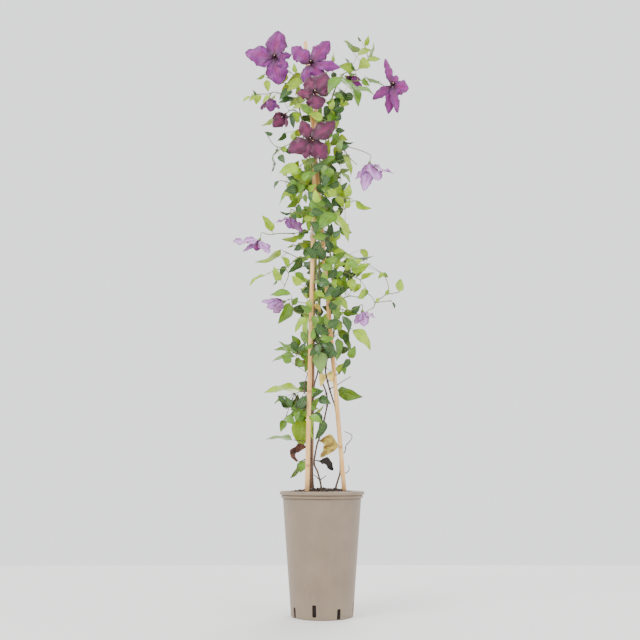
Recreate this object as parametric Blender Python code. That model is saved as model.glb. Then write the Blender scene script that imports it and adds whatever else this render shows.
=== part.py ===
"""A clematis in flower, trained up a tepee of three bamboo canes in a nursery pot.

Lengths are metres and +Z is up. The origin is the centre of the pot's underside, and the
side that the photograph shows faces -Y. Places on the plant are written as the photograph's
own column and row with a depth in millimetres behind the pot's axis, and photo_point turns
them into real places. Each leaflet is then settled at the nearest depth that has room.
"""
import math
import random
from typing import NamedTuple

import bmesh
import bpy
import numpy as np
from mathutils import Quaternion, Vector

MM = 0.001
TOUCH_GAP = 0.3 * MM

# The pot
POT_HEIGHT = 0.212
POT_RIM_RADIUS = 0.075
POT_BAND_RADIUS = 0.0722
POT_BODY_TOP_RADIUS = 0.0693
POT_BASE_RADIUS = 0.054
POT_WALL = 0.0016
POT_FLOOR = 0.0022
POT_LIP_HEIGHT = 0.0065
POT_BAND_HEIGHT = 0.0055
POT_SOFTNESS = 0.0012
POT_SEGMENTS = 40
DRAIN_SLOTS = 8
DRAIN_SLOT_SIZE = Vector((0.016, 0.007, 0.020))
LOW_SLOT_FOOT = -0.002
HIGH_SLOT_FOOT = 0.0052
FIRST_SLOT_ANGLE = math.radians(-59)

# The soil
SOIL_EDGE_DROP = 0.006
SOIL_CROWN_RISE = 0.009
SOIL_CRUMB = 0.0016
SOIL_RINGS = 4
SOIL_HOLE_POINTS = 3

# The canes and the ties round them
CANE_RADIUS = 0.004
CANE_BURIED = 0.100
CANE_FIRST_JOINT = 0.140
CANE_JOINT_SPACING = 0.130
CANE_JOINT_SHIFT = 0.030
CANE_JOINT_SWELL = 1.08
TIE_RADIUS = 0.0012
TIE_GAP = 0.0005
TIE_ARC_STEPS = 3

# The stems, twigs and leaves
WOOD_RADIUS = 0.0019
STEM_RADIUS = 0.0015
STEM_JOINT_GAP = 0.0005
STEM_SPACING = 0.020
TWIG_RADIUS = 0.0010
TWIG_TIP_RADIUS = 0.0006
CHORD_SPACING = 0.003
LEAF_STALK_WIDTH = 0.0010
SHORT_STALK = 0.004
BLADE_THICKNESS = 0.0008
LEAF_WIDTH_RATIO = 0.56
LEAF_ARCH = 0.07
LEAF_FOLD = 0.3
LEAF_LEAN = 22
LEAF_STATIONS = (0.34, 0.68)
SMALLEST_LEAFLET = 0.022
SMALL_LEAFLET = 0.026

# The blooms
SEPAL_THICKNESS = 0.0008
SEPAL_ROOT = 0.0028
SEPAL_FOOT = 0.0012
SEPAL_LIFT = 0.0014
SEPAL_SPREAD = 1.05
SEPAL_ARCH = 0.06
SEPAL_RUFFLE = 0.16
SEPAL_CUP = 0.18
SEPAL_STATIONS = (0.32, 0.74)
RECEPTACLE_LENGTH = 0.005
STALK_APPROACH = 0.010
STAMENS = 4
STAMEN_LENGTH = 0.011

# The search for room beside what is already placed
SAMPLE_SPACING = 0.0045
SETTLE_STEPS = 9
SETTLE_STRIDE = 0.006
SHALLOWEST_START = 0.003
DEEPEST_START = 0.030
SETTLE_TILTS = (0, 0.5, -0.5)
ROOT_FREE = 0.006
ROOT_SPACING = 0.004
LEAF_ROOM = 0.0042
BLOOM_ROOM = 0.001
DEAD_LEAF_ROOM = 0.005

# The camera that took the photograph
EYE = Vector((-0.0036, -1.539, 0.238))
EYE_PITCH = math.radians(10.4)
FOCAL_PIXELS = 850.0
PHOTO_CENTRE = 320.0


class Leafy(NamedTuple):
    """One leafy length of a climbing stem, with its twigs and leaflets."""

    name: str
    axis: tuple
    twigs: tuple
    leaflets: tuple


class Wood(NamedTuple):
    """The woody foot of a climbing stem."""

    name: str
    axis: tuple
    twigs: tuple


class Bloom(NamedTuple):
    """One bloom, with the leafy length that carries it and the stalk between them."""

    name: str
    carrier: str
    stalk: tuple
    centre: tuple
    face: tuple
    sepals: tuple


class DeadLeaf(NamedTuple):
    """One shrivelled leaf, which is one body with its stem where it is fused."""

    name: str
    carrier: str
    fused: bool
    path: tuple
    widths: tuple
    curl: float


class Cane(NamedTuple):
    """One bamboo cane, from its foot at the soil to its tip."""

    name: str
    foot: tuple
    tip: tuple


class Leaflet(NamedTuple):
    """One leaflet in place: where its stalk starts, its blade's ends, and how it lies."""

    root: Vector
    base: Vector
    tip: Vector
    normal: Vector
    width: float


# Each leafy length of a climbing stem: its name, its axis, its twigs and its leaflets.
# An axis or twig point is column, row, depth. A leaflet is the column and row of its base,
# those of its tip, and its width in photograph pixels.
LEAFY_LENGTHS = (
    Leafy(
        name="leafy_left_foot",
        axis=((323, 424.5, 2), (326.3, 410, 3), (327.5, 402, 3), (326, 392, 2), (321.5, 380, 0),
              (319, 366, -1), (319.5, 350, -1)),
        twigs=(((319.2, 356, -1), (318, 351, -10), (319.5, 348, -17)),),
        leaflets=(
            (324, 420, 315, 440, 9), (319, 398, 331, 404, 9),
            (316, 413, 324, 405, 3), (313, 397, 324, 390, 4),
            (322.6, 373, 320.5, 387, 7), (320.5, 352, 321.3, 374, 15),
            (323, 352, 311, 343, 8), (316, 338, 336.7, 359, 10),
        ),
    ),
    Leafy(
        name="leafy_left_low",
        axis=((319.5, 350, -1), (318, 330, 0), (318.5, 310, 1), (318, 290, 1), (316.5, 272, 1)),
        twigs=(
            ((318.3, 300, 1), (308, 303, -3), (299, 302, -8), (291, 299, -14)),
        ),
        leaflets=(
            (309, 330, 307, 346, 6), (309, 317, 307, 341, 6),
            (306.2, 317.6, 294.7, 332.7, 7), (307.4, 305.5, 300.8, 318.8, 9),
            (289.8, 303, 277.7, 324.2, 11), (293, 305, 298, 297, 6),
            (290.5, 294, 269.5, 295.2, 7), (305, 286, 308, 300, 5),
            (328, 287, 312, 282, 5), (314.7, 291.5, 326.2, 299.4, 6),
            (314, 304, 321, 313, 5), (314, 326, 330, 334, 10),
        ),
    ),
    Leafy(
        name="leafy_left_mid",
        axis=((316.5, 272, 1), (316, 255, 1), (315, 235, 1), (313.8, 215, 1), (313.2, 196, 1)),
        twigs=(
            ((316, 256, 1), (308, 258, 2), (299, 258, 0), (290, 254, -4), (283, 251, -8)),
            ((299, 258, 0), (292, 263, -6), (285, 268, -12), (276, 270, -16), (266.5, 274.3, -18)),
            ((285, 268, -12), (288.5, 275, -12), (283.2, 289, -12)),
            ((315.4, 243, 1), (308, 243, 3), (301, 243.5, 1), (294, 246, -2), (289.4, 247.5, -3)),
            ((314.6, 228, 1), (306, 231, 1), (294, 233.5, -5)),
            ((313.6, 210, 1), (306, 211.5, 3), (298, 209, 3), (293, 206, 2)),
        ),
        leaflets=(
            (280.8, 249.7, 254.4, 262.7, 6), (293, 244, 287, 247.5, 2),
            (301.5, 246.5, 293.5, 250.5, 6), (298, 243, 312.5, 259, 6),
            (282, 256.4, 288.6, 269, 6), (280.8, 280.6, 273.5, 266, 8),
            (285, 266, 281, 277, 6), (265.6, 275, 249.2, 286, 3),
            (276.5, 280, 273, 285.5, 2), (302, 258, 288, 273, 8),
            (309, 256, 297, 259, 5), (295.3, 272.7, 305.6, 281.8, 6.5),
            (298.3, 236, 281.1, 239.2, 6), (272.2, 231.5, 262, 215, 8),
            (306, 215, 302, 225, 5), (307, 219, 308, 232, 5),
            (290.7, 213, 279.2, 211.1, 2.5), (293, 214, 296.5, 220, 5),
            (308, 211, 288.8, 214.3, 9), (297.7, 199, 286.5, 208, 7),
            (300, 200, 302.5, 191.5, 5), (287, 194, 279.2, 205.4, 2),
            (314.3, 195.8, 321.3, 200.9, 4),
        ),
    ),
    Leafy(
        name="leafy_left_high",
        axis=((313.2, 196, 1), (312.3, 180, 1), (310.6, 162, 1), (307, 144, 2), (304, 128, 3)),
        twigs=(
            ((310.3, 160, 1), (304, 163, -6), (298, 167, -10), (290, 169, -12)),
            ((312.6, 186, 1), (304, 184, -3), (296, 186, -6), (287, 182, -9), (280.5, 180.5, -11)),
            ((305.5, 136, 2), (299, 139, -3), (291, 143, -7), (283, 147, -10), (277.5, 147, -12),
             (272.5, 143.5, -13), (267.5, 135.5, -14)),
            ((283, 147, -10), (277, 152, -11), (272.5, 156.5, -12)),
        ),
        leaflets=(
            (295.2, 190.7, 288, 193.5, 6), (296, 187, 297.8, 194.5, 2),
            (292, 182, 299.5, 187, 4), (279.5, 180.8, 273.8, 189.1, 3),
            (299, 168, 278.5, 173, 11), (292, 170, 299, 160, 6),
            (280, 155, 285, 163.5, 7), (312, 160, 305, 177, 9),
            (272, 157.5, 271.6, 172.2, 2.2), (277.5, 148, 272.5, 156, 2),
            (283.8, 152.4, 284.6, 145.5, 6), (297, 137, 287, 149, 6),
            (300, 139, 288.5, 149.5, 5), (296, 136, 303.5, 126.5, 7),
            (293, 141, 300, 128, 6), (285.8, 132.9, 277.2, 140.9, 5),
            (272.9, 134, 264, 131.7, 4), (309, 192, 317, 184, 6),
            (308.5, 191, 310.5, 182, 5),
        ),
    ),
    Leafy(
        name="leafy_left_crown",
        axis=((304, 128, 3), (300, 112, 3), (298, 98, 2), (299, 84, 0), (302, 72, 0)),
        twigs=(
            ((298, 98, 2), (290, 97, 6), (281, 94, 8), (275, 92, 8), (268, 94, 6), (262, 94, 4),
             (252, 95, 2)),
            ((299, 84, 0), (290, 84, 4), (280, 82, 6), (272, 80, 6), (266.5, 77, 5)),
        ),
        leaflets=(
            (293, 112, 294, 129, 6), (294, 104, 318.5, 122.5, 8),
            (305, 99.5, 288.4, 107, 8), (294, 99, 278, 103, 6),
            (291, 90, 279, 100, 8), (290, 84, 281, 95, 7),
            (303, 78, 287, 83, 12), (296, 73, 294, 63, 5),
            (303, 74, 306.5, 63.5, 4), (271, 95, 263, 104, 4),
            (275.5, 94.5, 268, 101, 3), (266.9, 80.1, 268.3, 92.2, 7),
            (264.9, 74.4, 256, 79.2, 3.5), (258.5, 93.5, 256, 104.8, 8),
            (257, 95, 249, 101, 5), (250.5, 96.8, 242.5, 101.9, 3),
            (255, 95.5, 252.5, 89.5, 2.5), (275.2, 116.2, 261.1, 126, 4),
        ),
    ),
    Leafy(
        name="leafy_right_foot",
        axis=((338, 430, 6), (335.4, 408, 4), (332.3, 398, 3), (329.6, 389, 3), (327, 379, 3),
              (325.5, 371, 4), (326.8, 361, 6), (330, 348, 9), (333.5, 335, 9)),
        twigs=(
            ((329.8, 389.5, 3), (337, 385, 6), (344, 380.5, 7), (350.8, 376.4, 8)),
            ((327.8, 382, 3), (334, 377.5, 6), (342, 370, 8), (350.8, 360.7, 9)),
        ),
        leaflets=(
            (330.5, 371.4, 331.7, 383, 7), (337.9, 389.7, 363.2, 397.1, 12.5),
            (337.9, 338.3, 336.3, 361.5, 8),
        ),
    ),
    Leafy(
        name="leafy_right_low",
        axis=((333.5, 335, 9), (334.5, 318, 7), (334, 300, 5), (332.5, 282, 4), (331, 262, 3)),
        twigs=(
            ((331.8, 272, 3), (339, 272, 0), (347, 273, -4), (354, 277, -6), (361, 280, -8)),
            ((334, 300, 5), (341, 299, 0), (350, 296, -5), (358, 297, -8), (365.5, 293.5, -9),
             (371.2, 296.2, -9), (375, 302.5, -9)),
            ((375, 302.5, -9), (380.5, 298.6, -10), (386, 294, -11), (388.6, 288, -11),
             (386.5, 280, -11), (383.3, 273, -11)),
            ((386, 294, -11), (392, 293.5, -12), (398.5, 292.3, -12)),
            ((375, 302.5, -9), (386, 301.3, -9), (391.5, 300.5, -9)),
            ((375, 302.5, -9), (373.6, 307.5, -8), (367.4, 310.6, -6)),
            ((334.8, 318, 7), (341, 322, 8), (347, 326, 8), (352, 329, 7)),
            ((334.2, 308, 6), (340, 309, 2), (347, 311, 0)),
        ),
        leaflets=(
            (347.9, 331.6, 351.2, 351.5, 6), (352.8, 330, 371, 350.7, 11),
            (333, 306, 337, 323, 7), (343, 316, 349, 334, 8),
            (343.2, 313.4, 358.5, 314, 7), (351.5, 311.5, 360.4, 305.8, 7),
            (335.5, 298, 348.3, 310.3, 8), (335, 300, 340, 313, 4),
            (346, 291, 331, 296, 5), (324, 286, 337, 294, 8),
            (334.2, 279, 335.5, 289.2, 6), (343, 275.8, 348.3, 289.8, 7),
            (350.8, 291, 355.3, 282.2, 7), (359, 298.8, 365.5, 287.3, 6),
            (392, 302, 394.5, 309, 2.5), (376.3, 302, 379.5, 297.5, 3.5),
            (385.9, 295, 389, 288.6, 4), (399.3, 291.8, 400.5, 278.4, 8.5),
            (383, 272.5, 378, 279, 4.5), (383, 273, 388.5, 277.5, 4.5),
            (361, 279.6, 375, 272.6, 5), (350.8, 270, 371.2, 263, 8.5),
            (341.9, 261.8, 349.5, 270, 7),
        ),
    ),
    Leafy(
        name="leafy_right_mid",
        axis=((331, 262, 3), (329.5, 245, 3), (328.6, 228, 3), (326.5, 210, 3), (325, 190, 3)),
        twigs=(
            ((330, 250, 3), (336, 252, 0), (343, 254.5, -2)),
            ((329.3, 243, 3), (333, 239, 3), (337.6, 232.6, 3)),
            ((325.3, 197, 3), (331, 196.5, 0), (337.5, 195.5, -3)),
            ((326.7, 214, 3), (335, 212, 3), (345, 208.5, 2), (351, 202, 1), (355, 200.8, 0)),
        ),
        leaflets=(
            (332.3, 252.2, 355.9, 260.5, 7), (335.5, 256, 333.6, 273.3, 7),
            (345.7, 254.1, 373.8, 256, 2), (329.8, 265.5, 310.5, 270.3, 6),
            (322, 240, 334, 247, 6), (319, 247, 324, 260, 8),
            (334.4, 216, 348.8, 242.8, 9), (335, 213.5, 316.5, 231.5, 14),
            (321, 200, 333, 207, 9), (355.5, 200.7, 372, 208.4, 6.5),
            (338, 194, 338.3, 180.3, 8), (339, 194.5, 349.7, 190.5, 7),
            (339, 196, 350.4, 198.2, 5), (337, 195, 326.8, 190, 8),
            (336, 197, 344, 208.4, 7), (318, 184, 328, 197, 8),
        ),
    ),
    Leafy(
        name="leafy_right_high",
        axis=((325, 190, 3), (324.5, 170, 3), (325, 150, 4), (327, 130, 5), (329, 110, 5)),
        twigs=(
            ((325.2, 148, 4), (331, 145.5, -2), (338, 144.8, -6)),
            ((338, 144.8, -6), (344, 150, -8), (349.7, 157.7, -8), (357, 165, -9)),
            ((324.6, 173, 3), (332, 171.7, 0), (341.8, 173, -2)),
        ),
        leaflets=(
            (322, 161, 325, 180, 8), (326, 183, 328.5, 166, 9),
            (329, 155, 328.5, 138, 7), (333.5, 141, 339.5, 132, 7),
            (337, 139.5, 354, 142.6, 3.5), (338.8, 144.4, 340, 166, 10),
            (344.2, 156.5, 351.5, 175.9, 6), (347.5, 156.5, 348, 161.5, 2),
            (336.4, 161.4, 331.5, 164, 3), (342, 173.5, 350.5, 183.5, 4),
            (328.4, 117, 338.9, 117.4, 6), (328.2, 105.7, 324.2, 117.4, 8),
            (321, 113, 319, 122, 3),
        ),
    ),
    Leafy(
        name="leafy_right_crown",
        axis=((329, 110, 5), (333, 95, 5), (338, 82, 4), (343, 74, 4)),
        twigs=(
            ((343, 74, 4), (350, 71, 4), (357, 70, 5), (364, 64, 6), (368, 59, 6), (366.5, 52, 6),
             (365, 46, 6)),
            ((341, 77, 4), (350, 81, 9), (362, 80.5, 11), (373, 82, 10)),
            ((338, 82, 4), (333, 72, 6), (331, 62, 6)),
        ),
        leaflets=(
            (341.8, 77.8, 358.7, 107.2, 10), (344, 78.6, 360.2, 97.6, 9),
            (341, 77, 328, 95, 10), (338.9, 88.1, 344, 103.5, 6),
            (339.3, 110.8, 329.3, 98.4, 6), (338.9, 102.8, 349.9, 104.2, 7),
            (331.5, 106.4, 334.5, 115.2, 6), (355.8, 88.1, 374.1, 94.7, 4.5),
            (363, 78.6, 369.7, 86, 6), (380, 81.5, 363.8, 75.3, 3),
            (354, 70, 338, 66, 9), (347.7, 72, 357.2, 74.2, 3),
            (368, 60.5, 358, 69, 12), (368.2, 61, 381.4, 59.1, 5),
            (358, 54.5, 372.3, 50, 6), (364.9, 45.9, 368.6, 35.3, 5),
            (360.9, 50.7, 345.5, 40, 5.5), (350.3, 49.2, 343.3, 39.7, 3),
            (368.2, 57.3, 374.1, 41.5, 3), (361.3, 40.8, 357.6, 36, 2),
            (348.8, 66.1, 344, 57.3, 3), (355, 69.8, 351.4, 61.3, 2.5),
            (331, 62, 333.5, 51.5, 3),
        ),
    ),
    Leafy(
        name="leafy_back_foot",
        axis=((312.3, 472, 19), (311.2, 450, 16), (311, 430, 12), (311.8, 408, 6), (313, 393, 4)),
        twigs=(
            ((311, 441, 14), (303, 441, 6), (294, 440, 0)),
            ((311.5, 458, 17), (305, 459.5, 8), (299, 462, 2)),
        ),
        leaflets=(
            (303, 419, 301, 448, 22), (313, 417, 313, 440, 5),
            (291.9, 440, 264.8, 439.7, 4), (298.3, 463, 289.7, 478.6, 5),
            (305, 461, 300, 473, 9),
        ),
    ),
    Leafy(
        name="leafy_back_low",
        axis=((313, 393, 4), (315, 382, 7), (318, 370.5, 12), (319, 350, 18), (318.5, 335, 21),
              (319.5, 315, 22), (320, 300, 22)),
        twigs=(
            ((313.2, 391, 4), (308, 392, -3), (301.5, 391.5, -7), (293, 393, -9)),
            ((318.8, 355, 16), (311, 352, 7), (304, 350, 1), (296, 354, 0)),
            ((304.5, 391.8, -5), (304.5, 385, -4), (308, 372, 0)),
        ),
        leaflets=(
            (301.4, 391.3, 262.9, 393, 8), (286.5, 396.3, 274, 404.6, 3.5),
            (298, 393.8, 284.4, 409.6, 4.5), (306.4, 395.5, 282.4, 420, 7),
            (307, 398, 297, 416, 9), (313, 408, 319, 397, 6),
            (303.9, 347.4, 277.8, 341.2, 8), (291.5, 353.2, 273.2, 349.9, 4),
            (294.8, 356.5, 271.6, 361.9, 5), (308.9, 354.9, 305.2, 372.7, 9),
        ),
    ),
    Leafy(
        name="leafy_back_mid",
        axis=((320, 300, 22), (319.5, 275, 21), (319, 255, 20), (319, 236, 20), (319.2, 225, 19)),
        twigs=(),
        leaflets=(
            (312, 296, 300, 288, 8), (326, 292, 338, 282, 9),
            (313, 268, 303, 262, 8), (325, 264, 337, 258, 9),
            (313, 246, 302, 240, 8), (326, 242, 334, 232, 8),
            (318, 284, 320, 268, 9), (319, 234, 313, 222, 9),
        ),
    ),
    Leafy(
        name="leafy_back_high",
        axis=((319.2, 225, 19), (319.8, 202, 18), (320.2, 185, 16), (320, 165, 15), (319, 150, 14)),
        twigs=(),
        leaflets=(
            (314, 215, 303, 206, 9), (325, 212, 335, 203, 9),
            (314, 190, 304, 182, 9), (325, 185, 334, 178, 9),
            (315, 168, 306, 158, 9), (325, 166, 333, 156, 9),
            (320, 208, 322, 194, 9), (318, 176, 316, 162, 9),
        ),
    ),
    Leafy(
        name="leafy_back_crown",
        axis=((319, 150, 14), (318.5, 130, 15), (318, 118, 16), (317, 104, 18), (315, 90, 20),
              (314, 76, 22)),
        twigs=(),
        leaflets=(
            (314, 140, 304, 132, 9), (324, 138, 333, 128, 9),
            (313, 118, 322, 107, 9), (324, 114, 334, 106, 9),
            (312, 98, 302, 92, 10), (321, 94, 331, 88, 10),
            (310, 80, 300, 74, 9), (319, 80, 327, 72, 9),
        ),
    ),
)

# The woody foot of each stem, and the point where its leafy length takes over
WOODY_STEMS = (
    Wood(
        name="woody_stem_left",
        axis=((321.5, 494, 0), (321, 486, 0), (319.8, 480, 0), (317.2, 471, 0), (314.2, 463, 0),
              (316.5, 447, 0), (319.3, 438, 0), (323, 424.5, 2)),
        twigs=(
            ((319.8, 480, 0), (316, 476.5, -3), (312.9, 474.4, -5)),
            ((319.8, 480, 0), (323, 478, -2), (326.3, 475.7, -4)),
        ),
    ),
    Wood(
        name="woody_stem_right",
        axis=((336, 494, 2), (336, 487, 2), (338.3, 479, 2), (340.3, 471, 3), (340, 455, 6),
              (338, 430, 6)),
        twigs=(
            ((340, 455, 6), (344.8, 452, 7), (346, 445.7, 7), (351.5, 438.7, 7),
             (351, 434.5, 7), (344.5, 431.5, 7)),
            ((340.3, 468, 3.5), (345, 473, 3), (349, 470, 2), (348.5, 465.5, 2)),
        ),
    ),
    Wood(
        name="woody_stem_back",
        axis=((313.5, 494, 20), (313.2, 487, 20), (312.3, 472, 19)),
        twigs=(),
    ),
)

# Each bloom: its name, its centre, the way it faces, and for each sepal the column
# and row of its tip, how far the tip lies behind the centre, and its width in pixels
BLOOMS = (
    Bloom("bloom_crown_left", "leafy_left_crown",
          ((299.6, 80, 0), (291, 73, 9), (282, 65, 9)),
          (274.3, 58.3, -10), (0.05, -1, 0.1),
          ((278.6, 30, 6, 20), (244.5, 52.6, 4, 19), (257.5, 65.8, -2, 10), (279.4, 85.3, 2, 21),
           (289, 67.5, -4, 10), (292, 55, 3, 9))),
    Bloom("bloom_crown_centre", "leafy_left_crown",
          ((302, 72, 0), (306, 69, -9)),
          (311, 63.9, -30), (-0.05, -1, 0.1),
          ((291.2, 46.3, 4, 16), (330, 40.8, 5, 16), (341, 67.6, 0, 12), (324, 79, 4, 13),
           (303, 83, 5, 11))),
    Bloom("bloom_crown_front", "leafy_left_crown",
          ((299, 89, 1), (303, 93, -14), (308, 94.5, -30)),
          (315, 93, -55), (0, -1, 0.05),
          ((296.4, 93.6, 2, 11), (316.8, 110, 0, 19), (331, 86, 2, 14), (327, 73.5, 6, 22),
           (307, 77, 4, 15))),
    Bloom("bloom_centre", "leafy_left_high",
          ((306.6, 142, 2), (306, 145, -8), (308, 143.5, -20)),
          (310.3, 140.3, -40), (0, -1, 0.05),
          ((301.4, 120.2, 2, 13), (335.6, 121.8, 4, 18), (326.8, 159, 2, 18), (287.8, 152, 2, 16),
           (304.5, 159, 1, 11))),
    Bloom("bloom_right", "leafy_right_crown",
          ((373, 82, 10), (382, 84.6, 9)),
          (391.5, 85.5, -5), (0.25, -1, 0.05),
          ((385, 58, 0, 8), (397, 75.5, 5, 9), (409.3, 88.3, 3, 16), (397.5, 114, -5, 9),
           (388.3, 114.6, 3, 10), (372, 100, -2, 9))),
    Bloom("bloom_left_side", "leafy_left_crown",
          ((271, 93, 7),),
          (269.5, 99.5, 2), (-0.1, -0.35, -1),
          ((260.5, 109.6, -6, 9), (270.5, 112.5, -16, 11), (280, 108.8, -4, 9), (271, 109, 14, 8))),
    Bloom("bloom_left_lower", "leafy_left_crown",
          ((300.5, 114, 3), (294, 110, -2)),
          (285, 114.5, -14), (-0.5, -0.5, -0.7),
          ((272, 118.6, -4, 9), (272.6, 127.6, -12, 12), (286.5, 127.4, -8, 9), (281, 126, 8, 8))),
    Bloom("bloom_nodding_right", "leafy_right_high",
          ((338, 144.8, -6), (346, 146.2, -8), (360.6, 150.5, -10)),
          (369.5, 163.5, -10), (-0.1, 0.5, -0.85),
          ((395, 174, -6, 13), (379, 180.5, -20, 17), (363.8, 191.8, -14, 12), (355, 179.5, 0, 9),
           (366, 181, 8, 9))),
    Bloom("bloom_nodding_left", "leafy_left_mid",
          ((294, 233.5, -5), (280.5, 233.4, -12), (269, 234.5, -17)),
          (259.5, 240.3, -20), (-0.3, 0.5, -0.8),
          ((232, 241.8, -16, 15), (242.5, 251.2, -12, 6), (268.8, 253.8, -14, 13),
           (256, 251, 10, 9))),
    Bloom("bloom_arched", "leafy_left_mid",
          ((314, 219, 1), (306, 215, -10), (299, 213.5, -22)),
          (290.5, 217.5, -32), (-0.1, 0.4, -0.9),
          ((275.4, 222.6, -2, 7), (289.5, 228.5, -12, 10), (300.9, 233, -8, 14),
           (293, 229, 8, 8))),
    Bloom("bloom_low_left", "leafy_left_low",
          ((318.5, 318, 1), (311, 316, -6), (303, 314, -14), (294, 311, -19)),
          (283.5, 302, -22), (-0.9, 0.4, -0.25),
          ((260.8, 301.5, -10, 7), (266.4, 307.6, -14, 9), (273, 312.8, -10, 10), (268, 304, 8, 8))),
    Bloom("bloom_low_right", "leafy_right_low",
          ((347, 311, 0), (354, 309, 3)),
          (362.5, 312.2, 8), (0.1, 0.5, -0.85),
          ((375.7, 317.6, -4, 9), (354.6, 324, -8, 9), (364.5, 326.8, -12, 11), (366, 323, 12, 8))),
    Bloom("bloom_hidden", "leafy_right_crown",
          ((342, 75.5, 4),),
          (347, 77, 19), (0.9, -0.1, -0.4),
          ((362.5, 86, 2, 7), (356, 86, 8, 6), (361, 80, 14, 6))),
)

# Each cane: the column, row and depth of its foot at the soil and of its tip
CANES = (
    Cane("cane_left", (307, 489, -36), (317, 72, -2)),
    Cane("cane_right", (344, 487, -12), (305.5, 42, 5)),
    Cane("cane_back", (311, 489, 38), (315.7, 110, 7)),
)
TIE_ROWS = {"tie_upper": 202.5, "tie_lower": 236}

# The order of each stem's lengths, from the soil up
STEM_ORDER = (
    ("woody_stem_left", "leafy_left_foot", "leafy_left_low", "leafy_left_mid",
     "leafy_left_high", "leafy_left_crown"),
    ("woody_stem_right", "leafy_right_foot", "leafy_right_low", "leafy_right_mid",
     "leafy_right_high", "leafy_right_crown"),
    ("woody_stem_back", "leafy_back_foot", "leafy_back_low", "leafy_back_mid",
     "leafy_back_high", "leafy_back_crown"),
)

# Shrivelled leaves near the foot: where each curls through, and its width there in pixels
DEAD_LEAVES = (
    DeadLeaf("withered_leaf", "woody_stem_left", False,
             ((318.4, 441, 0), (322.5, 440.5, -4), (327, 440, -6), (330.5, 446, -6),
              (326.5, 452.5, -5), (320.5, 457, -4)), (0, 5, 14, 15, 9, 2), 0.35),
    DeadLeaf("black_leaf", "woody_stem_left", True,
             ((314.6, 460.5, 0), (320, 461, -3), (325, 461, -4), (329, 465.5, -4),
              (333.5, 470, -3)), (0, 2, 9, 8, 2), 0.5),
    DeadLeaf("dead_leaf", "leafy_back_foot", False,
             ((311.2, 449, 16), (305, 447, 4), (298, 447, 0), (292.5, 451, -2),
              (294, 457, -3), (297.6, 461.5, -2)), (0, 3, 9, 7, 5, 2), 0.5),
)


def photo_point(column, row, depth_mm):
    """Return the place seen at a photograph pixel, that far behind the pot's axis."""
    across = (column - PHOTO_CENTRE) / FOCAL_PIXELS
    up = (PHOTO_CENTRE - row) / FOCAL_PIXELS
    cosine, sine = math.cos(EYE_PITCH), math.sin(EYE_PITCH)
    ray = Vector((across, cosine - up * sine, sine + up * cosine))
    return EYE + ray * ((depth_mm * MM - EYE.y) / ray.y)


def pixel_size(place):
    """Return the real length that one photograph pixel covers at a place."""
    return (place - EYE).dot(Vector((0, math.cos(EYE_PITCH), math.sin(EYE_PITCH)))) / FOCAL_PIXELS


def smooth_path(points, spacing, before=None, after=None):
    """Return points about SPACING apart along a smooth curve through POINTS.

    BEFORE and AFTER are the places that the curve comes from and goes on to.
    """
    ends = [before or 2 * points[0] - points[1], *points, after or 2 * points[-1] - points[-2]]
    path = []
    for before, start, end, after in zip(ends, ends[1:], ends[2:], ends[3:]):
        steps = max(1, round((end - start).length / spacing))
        for step in range(steps):
            t = step / steps
            path.append(0.5 * (2 * start + (end - before) * t
                               + (2 * before - 5 * start + 4 * end - after) * t ** 2
                               + (3 * start - before - 3 * end + after) * t ** 3))
    path.append(points[-1].copy())
    return path


def photo_path(points, spacing):
    """Return a smooth path through places given as column, row and depth."""
    return smooth_path([photo_point(*point) for point in points], spacing)


def chord_points(path, spacing):
    """Return points about SPACING apart along the straight pieces of a path."""
    points = []
    for start, end in zip(path, path[1:]):
        steps = max(1, round((end - start).length / spacing))
        points += [start.lerp(end, step / steps) for step in range(steps)]
    return points + [path[-1]]


def growth_lines(part):
    """Return the coarse paths of a length's stem, its twigs and the bloom stalks it bears.

    Each twig and stalk starts from the nearest place on the lines before it.
    """
    lines = [stem_path(part, STEM_SPACING)]
    sprouts = [(twig, ()) for twig in part.twigs]
    sprouts += [(bloom.stalk, stalk_end(bloom)) for bloom in BLOOMS if bloom.carrier == part.name]
    for places, end in sprouts:
        points = [photo_point(*place) for place in places]
        grown = [point for line in lines for point in chord_points(line, CHORD_SPACING)]
        points[0] = min(grown, key=lambda point: (point - points[0]).length)
        lines.append(smooth_path([*points, *end], STEM_SPACING))
    return lines


def stem_path(part, spacing):
    """Return the path of one length of a stem, which runs on smoothly from its neighbours."""
    order = next(order for order in STEM_ORDER if part.name in order)
    place = order.index(part.name)
    axes = {length.name: length.axis for length in (*WOODY_STEMS, *LEAFY_LENGTHS)}
    before = photo_point(*axes[order[place - 1]][-2]) if place else None
    after = photo_point(*axes[order[place + 1]][1]) if place + 1 < len(order) else None
    path = smooth_path([photo_point(*point) for point in part.axis], spacing, before, after)
    if before:
        path[0] = path[0] + (path[1] - path[0]).normalized() * STEM_JOINT_GAP
    return path


def across(vector, axis, fallback):
    """Return VECTOR made square to AXIS, or FALLBACK made so where they are nearly parallel."""
    flat = vector - axis * vector.dot(axis)
    if flat.length < 0.3 * vector.length:
        flat = fallback - axis * fallback.dot(axis)
    return flat.normalized()


def make_material(name, colour, roughness):
    """Return a plain Principled material."""
    material = bpy.data.materials.new(name)
    material.use_nodes = True
    shader = material.node_tree.nodes["Principled BSDF"]
    shader.inputs["Base Color"].default_value = (*colour, 1)
    shader.inputs["Roughness"].default_value = roughness
    shader.inputs["Metallic"].default_value = 0
    return material


def make_object(name, bm, material):
    """Turn a bmesh into an object of that name and free the bmesh."""
    bmesh.ops.recalc_face_normals(bm, faces=bm.faces)
    mesh = bpy.data.meshes.new(name)
    bm.to_mesh(mesh)
    bm.free()
    mesh.shade_smooth()
    mesh.set_sharp_from_angle(angle=math.radians(35))
    mesh.materials.append(material)
    piece = bpy.data.objects.new(name, mesh)
    bpy.context.scene.collection.objects.link(piece)
    return piece


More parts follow.
